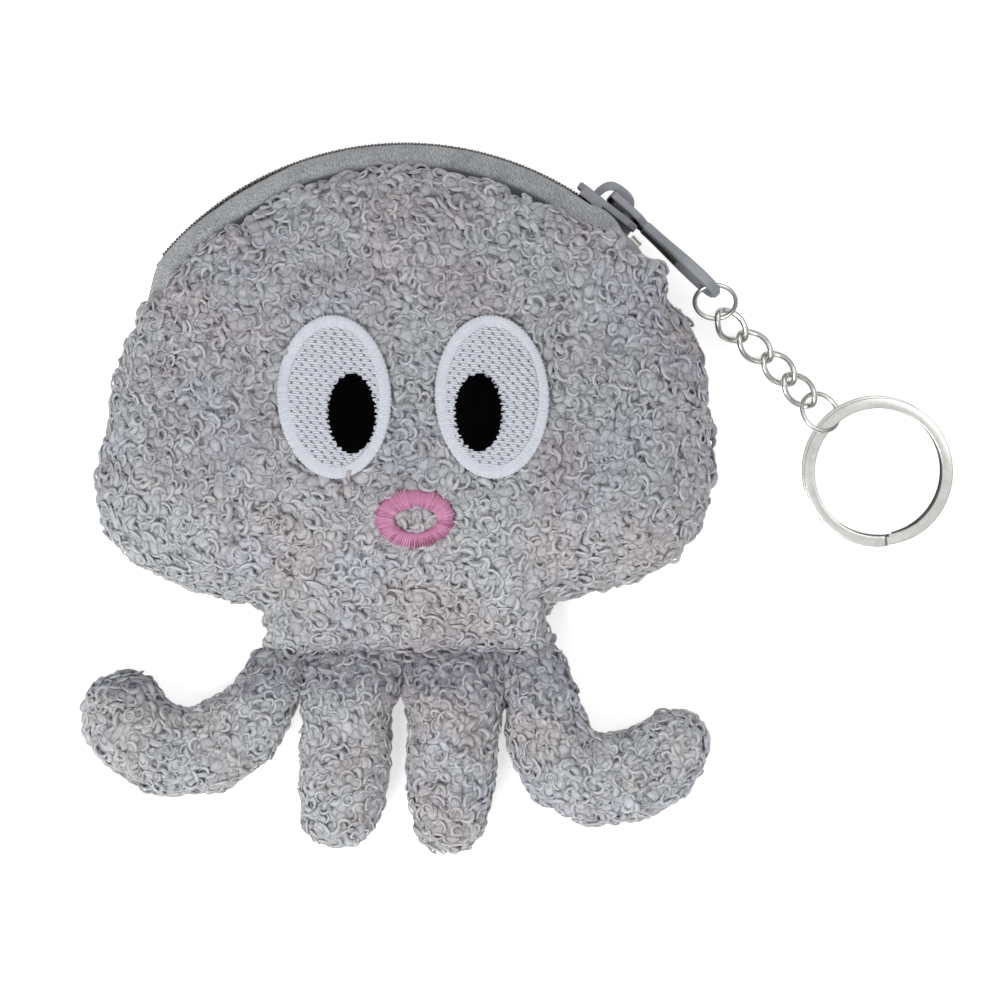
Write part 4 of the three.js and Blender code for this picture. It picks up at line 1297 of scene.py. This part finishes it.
def one_stitch():
    """A half-round thread one unit long, wide and high, that dips in at both ends."""
    points, uvs = [], []
    for k in range(STITCH_STEPS + 1):
        t = k / STITCH_STEPS
        swell = math.sin(math.pi * (0.06 + 0.88 * t)) ** 0.5
        for i in range(STITCH_SIDES):
            share = i / (STITCH_SIDES - 1)
            turn = math.pi * share
            width = 0.5 * (0.6 + 0.4 * swell)
            points.append((t - 0.5, width * math.cos(turn), swell * (0.35 + 0.65 * math.sin(turn)) - 0.3))
            uvs.append((t, share))
    made = mesh_object("one_stitch", points, tube(STITCH_STEPS + 1, STITCH_SIDES), WHITE_THREAD)
    lay_uv(made.data, "thread", uvs)
    return hidden(made)


def stitch_graph(name, material):
    """One stitch along each edge of a mesh of loose edges, over a pad."""
    graph = Graph(name, stitch="Object", pad="Object", width="Float", height="Float", seed="Int")
    ends = graph.node("GeometryNodeInputMeshEdgeVertices")
    run = graph.node("ShaderNodeVectorMath", {"operation": "SUBTRACT"}, out="Vector")
    graph.tree.links.new(graph.live(ends.outputs, "Position 2"), run.node.inputs[0])
    graph.tree.links.new(graph.live(ends.outputs, "Position 1"), run.node.inputs[1])
    kept = graph.node(
        "GeometryNodeStoreNamedAttribute", {"data_type": "FLOAT_VECTOR", "domain": "EDGE"},
        out="Geometry", Geometry=graph.geometry, Name="run", Value=run,
    )
    middles = graph.node("GeometryNodeMeshToPoints", {"mode": "EDGES"}, out="Points", Mesh=kept)
    run = graph.attribute("FLOAT_VECTOR", "run")
    length = graph.node("ShaderNodeVectorMath", {"operation": "LENGTH"}, out="Value", Vector=run)
    size = graph.node(
        "ShaderNodeCombineXYZ", out="Vector",
        X=length, Y=graph.sizes["width"], Z=graph.sizes["height"],
    )
    placed = graph.instances(
        Points=middles, Instance=graph.given("stitch"), Rotation=graph.aligned(run), Scale=size)
    graph.finish(material, graph.given("pad"), graph.toned(placed, graph.sizes["seed"]))
    return graph


STITCH = one_stitch()
EMBROIDERY = {
    "white": stitch_graph("white_stitches", WHITE_THREAD),
    "black": stitch_graph("black_stitches", BLACK_THREAD),
    "pink": stitch_graph("pink_stitches", PINK_THREAD),
}


def over_face(p, height):
    return Vector((p.x, p.y, face_height(p.x, p.y) + height))


def loose_edges(name, runs, lift):
    """A mesh of the stitches' runs over the face: each run is a start and an end."""
    points = [over_face(p, lift) for run in runs for p in run]
    return edges_object(name, points, [(2 * k, 2 * k + 1) for k in range(len(runs))])


def embroidered(name, node, thread, pad, runs, lift, width, height):
    pad_points, pad_faces = pad
    base = hidden(mesh_object(f"{name}_pad", pad_points, pad_faces, WHITE_THREAD))
    # The pad takes painted shade, seen in the gaps between stitches
    add_float(base.data, "curl_tone", np.full(len(base.data.vertices), PAD_SHADE_TONE))
    made = EMBROIDERY[thread].apply(
        loose_edges(name, runs, lift), name,
        stitch=STITCH, pad=base, width=width, height=height, seed=STITCH_SEED,
    )
    shade_smooth(made.data)
    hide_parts(node)
    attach(made, "pouch")


# A pad's levels, from its top's middle over the rim to its underside: share of the oval and of the height
PAD_LEVELS = [(0.3, 1), (0.6, 1), (0.88, 1), (0.97, 0.6), (0.97, 0), (0.5, 0)]
# The mouth's section: share of the way from the opening's rim to the outer one, and height in mm
MOUTH_SECTION = [(0.08, 0), (0.12, 0.5), (0.35, 0.9), (0.65, 0.9), (0.9, 0.5), (0.93, 0)]


def oval_pad(oval, lift, thickness, sides):
    """A low closed pad that follows the face."""
    points = [over_face(oval_point(oval, turn, scale), lift + thickness * share)
              for scale, share in PAD_LEVELS for turn in circle(sides)]
    return points, tube(len(PAD_LEVELS), sides)


def radial_runs(inner, outer, count, reach, ragged, pace):
    """Stitches from an inner oval out past the rim of an outer one, with uneven ends."""
    return [(oval_point(inner, turn), oval_point(outer, turn, reach + ragged * math.sin(k * pace)))
            for k, turn in enumerate(circle(count))]


def satin_border(oval, width, pitch):
    """Close radial stitches over an oval's rim."""
    x, y, half_width, half_height = oval
    inner = (x, y, half_width - width / MM, half_height - width / MM)
    count = int(math.pi * (half_width + half_height) * MM / pitch)
    return radial_runs(inner, oval, count, 1.012, 0.006, 2.4)


def fill_rows(oval, border, pitch, length):
    """Slanted rows of stitches: every other row leaves needle holes, staggered like bricks."""
    x, y = oval[0] * MM, oval[1] * MM
    half_width, half_height = oval[2] * MM - border, oval[3] * MM - border
    rows = int(2 * half_height / pitch)
    slope = math.tan(FILL_SLANT)
    square = half_width ** -2 + (slope / half_height) ** 2
    runs = []
    for row in range(rows):
        level = ((row + 0.5) / rows * 2 - 1) * half_height
        middle = -slope * level / half_height ** 2 / square
        span = middle ** 2 - ((level / half_height) ** 2 - 1) / square
        if span <= 0:
            continue
        first, last = middle - math.sqrt(span) - FILL_LAP, middle + math.sqrt(span) + FILL_LAP
        gap = NEEDLE_HOLE if row % 2 else -FILL_LAP
        place = -half_width * 2 - length * (row // 2 % 2) / 2 + 0.15 * MM * math.sin(row * 1.7)
        while place < last:
            low, high = max(place, first), min(place + length - gap, last)
            if high - low > length * 0.2:
                runs.append((Vector((x + low, y + level + low * slope)),
                             Vector((x + high, y + level + high * slope))))
            place += length
    return runs


def level_rows(oval, pitch, ragged):
    """Stitches right across an oval, with uneven ends."""
    x, y, half_width, half_height = [size * MM for size in oval]
    count = int(2 * half_height / pitch)
    runs = []
    for row in range(count):
        across = (row + 0.5) / count * 2 - 1
        reach = half_width * math.sqrt(1 - across * across)
        level = y + across * half_height
        left, right = ragged * math.sin(row * 2.4), ragged * math.sin(row * 2.4 + 2)
        runs.append((Vector((x - reach - left, level)), Vector((x + reach + right, level + 0.1 * MM))))
    return runs


for side, oval in EYES.items():
    runs = satin_border(oval, EYE_BORDER, 0.3 * MM)
    runs += fill_rows(oval, EYE_BORDER * 0.95, 0.39 * MM, 1.6 * MM)
    embroidered(f"eye_white_{side}_stitches", f"eye_white_{side}", "white",
                oval_pad(oval, EYE_LIFT, EYE_PAD - 0.25 * MM, 72), runs,
                lift=EYE_LIFT + EYE_PAD, width=0.44 * MM, height=0.26 * MM)
    embroidered(f"pupil_{side}_stitches", f"pupil_{side}", "black",
                oval_pad(PUPILS[side], PUPIL_LIFT - 0.2 * MM, 0.25 * MM, 32),
                level_rows(PUPILS[side], 0.34 * MM, 0.3 * MM),
                lift=PUPIL_LIFT, width=0.42 * MM, height=0.35 * MM)


def mouth_pad():
    """A closed ring over the face."""
    points = []
    for turn in circle(MOUTH_PAD_SIDES):
        inner, outer = oval_point(MOUTH_INNER, turn), oval_point(MOUTH_OUTER, turn)
        for share, height in MOUTH_SECTION:
            points.append(over_face(inner.lerp(outer, share), MOUTH_LIFT + height * MM))
    return points, bands(MOUTH_PAD_SIDES, len(MOUTH_SECTION), closed=True)


embroidered("mouth_stitches", "mouth_ring", "pink", mouth_pad(),
            radial_runs(MOUTH_INNER, MOUTH_OUTER, MOUTH_STITCHES, 1.0, 0.03, 7.3),
            lift=MOUTH_STITCH_LIFT, width=0.38 * MM, height=1.1 * MM)

# Floor, lamps and camera
VIEW_MIDDLE = Vector((15.83, -16.67, 7)) * MM
VIEW_WIDTH = 166.67 * MM
CAMERA_HEIGHT = 1.3
SENSOR = 36
FLOOR_HALF = 3.0
FLOOR_LEVEL = -0.2 * MM
FLOOR_GREY = (0.85, 0.85, 0.85)
FLOOR_GLOW = (0.58, 0.58, 0.58)
WORLD_STRENGTH = 0.6
ZENITH_STRENGTH = 0.95
HORIZON_STRENGTH = 0.12


def floor():
    """A pale floor that only the camera sees as plain white."""
    shader = Shader("pale_floor")
    seen = shader.node("ShaderNodeLightPath", {}, output="Is Camera Ray")
    shader.finish(
        Base_Color=(*FLOOR_GREY, 1.0),
        Roughness=0.9,
        Emission_Color=shader.mix(seen, (0, 0, 0), FLOOR_GLOW),
        Emission_Strength=1.0,
    )
    corners = [Vector((x * FLOOR_HALF, y * FLOOR_HALF, FLOOR_LEVEL))
               for x, y in ((-1, -1), (1, -1), (1, 1), (-1, 1))]
    made = mesh_object("floor", corners, [(0, 1, 2, 3)], shader.material, smooth=False)


floor()


def lamp(name, place, size, watts):
    data = bpy.data.lights.new(name, "AREA")
    data.shape = "DISK"
    data.size = size
    data.energy = watts
    made = in_scene(name, data)
    made.location = place
    made.rotation_mode = "QUATERNION"
    made.rotation_quaternion = (VIEW_MIDDLE - made.location).to_track_quat("-Z", "Y")


lamp("key", Vector((-0.35, -0.5, 0.75)), 0.5, 5.8)
lamp("fill", Vector((0.5, 0.35, 0.8)), 0.8, 2)


def studio_world():
    """Even white surroundings; metal sees them darken towards the horizon."""
    world = bpy.data.worlds.new("studio")
    shader = Shader("studio", world)
    _, _, height = shader.split(shader.place("Generated"))
    mirrored = shader.node("ShaderNodeLightPath", {}, output="Is Glossy Ray")
    sky = height.between(0.05, 0.75) * (ZENITH_STRENGTH - HORIZON_STRENGTH) + HORIZON_STRENGTH
    strength = mirrored * (sky - WORLD_STRENGTH) + WORLD_STRENGTH
    shader.finish(Color=(1, 1, 1, 1), Strength=strength)
    bpy.context.scene.world = world


studio_world()

camera_data = bpy.data.cameras.new("camera")
camera_data.sensor_width = SENSOR
camera_data.lens = SENSOR * (CAMERA_HEIGHT - VIEW_MIDDLE.z) / VIEW_WIDTH
camera = in_scene("camera", camera_data)
camera.location = (VIEW_MIDDLE.x, VIEW_MIDDLE.y, CAMERA_HEIGHT)
bpy.context.scene.camera = camera
bpy.context.scene.view_settings.view_transform = "Standard"
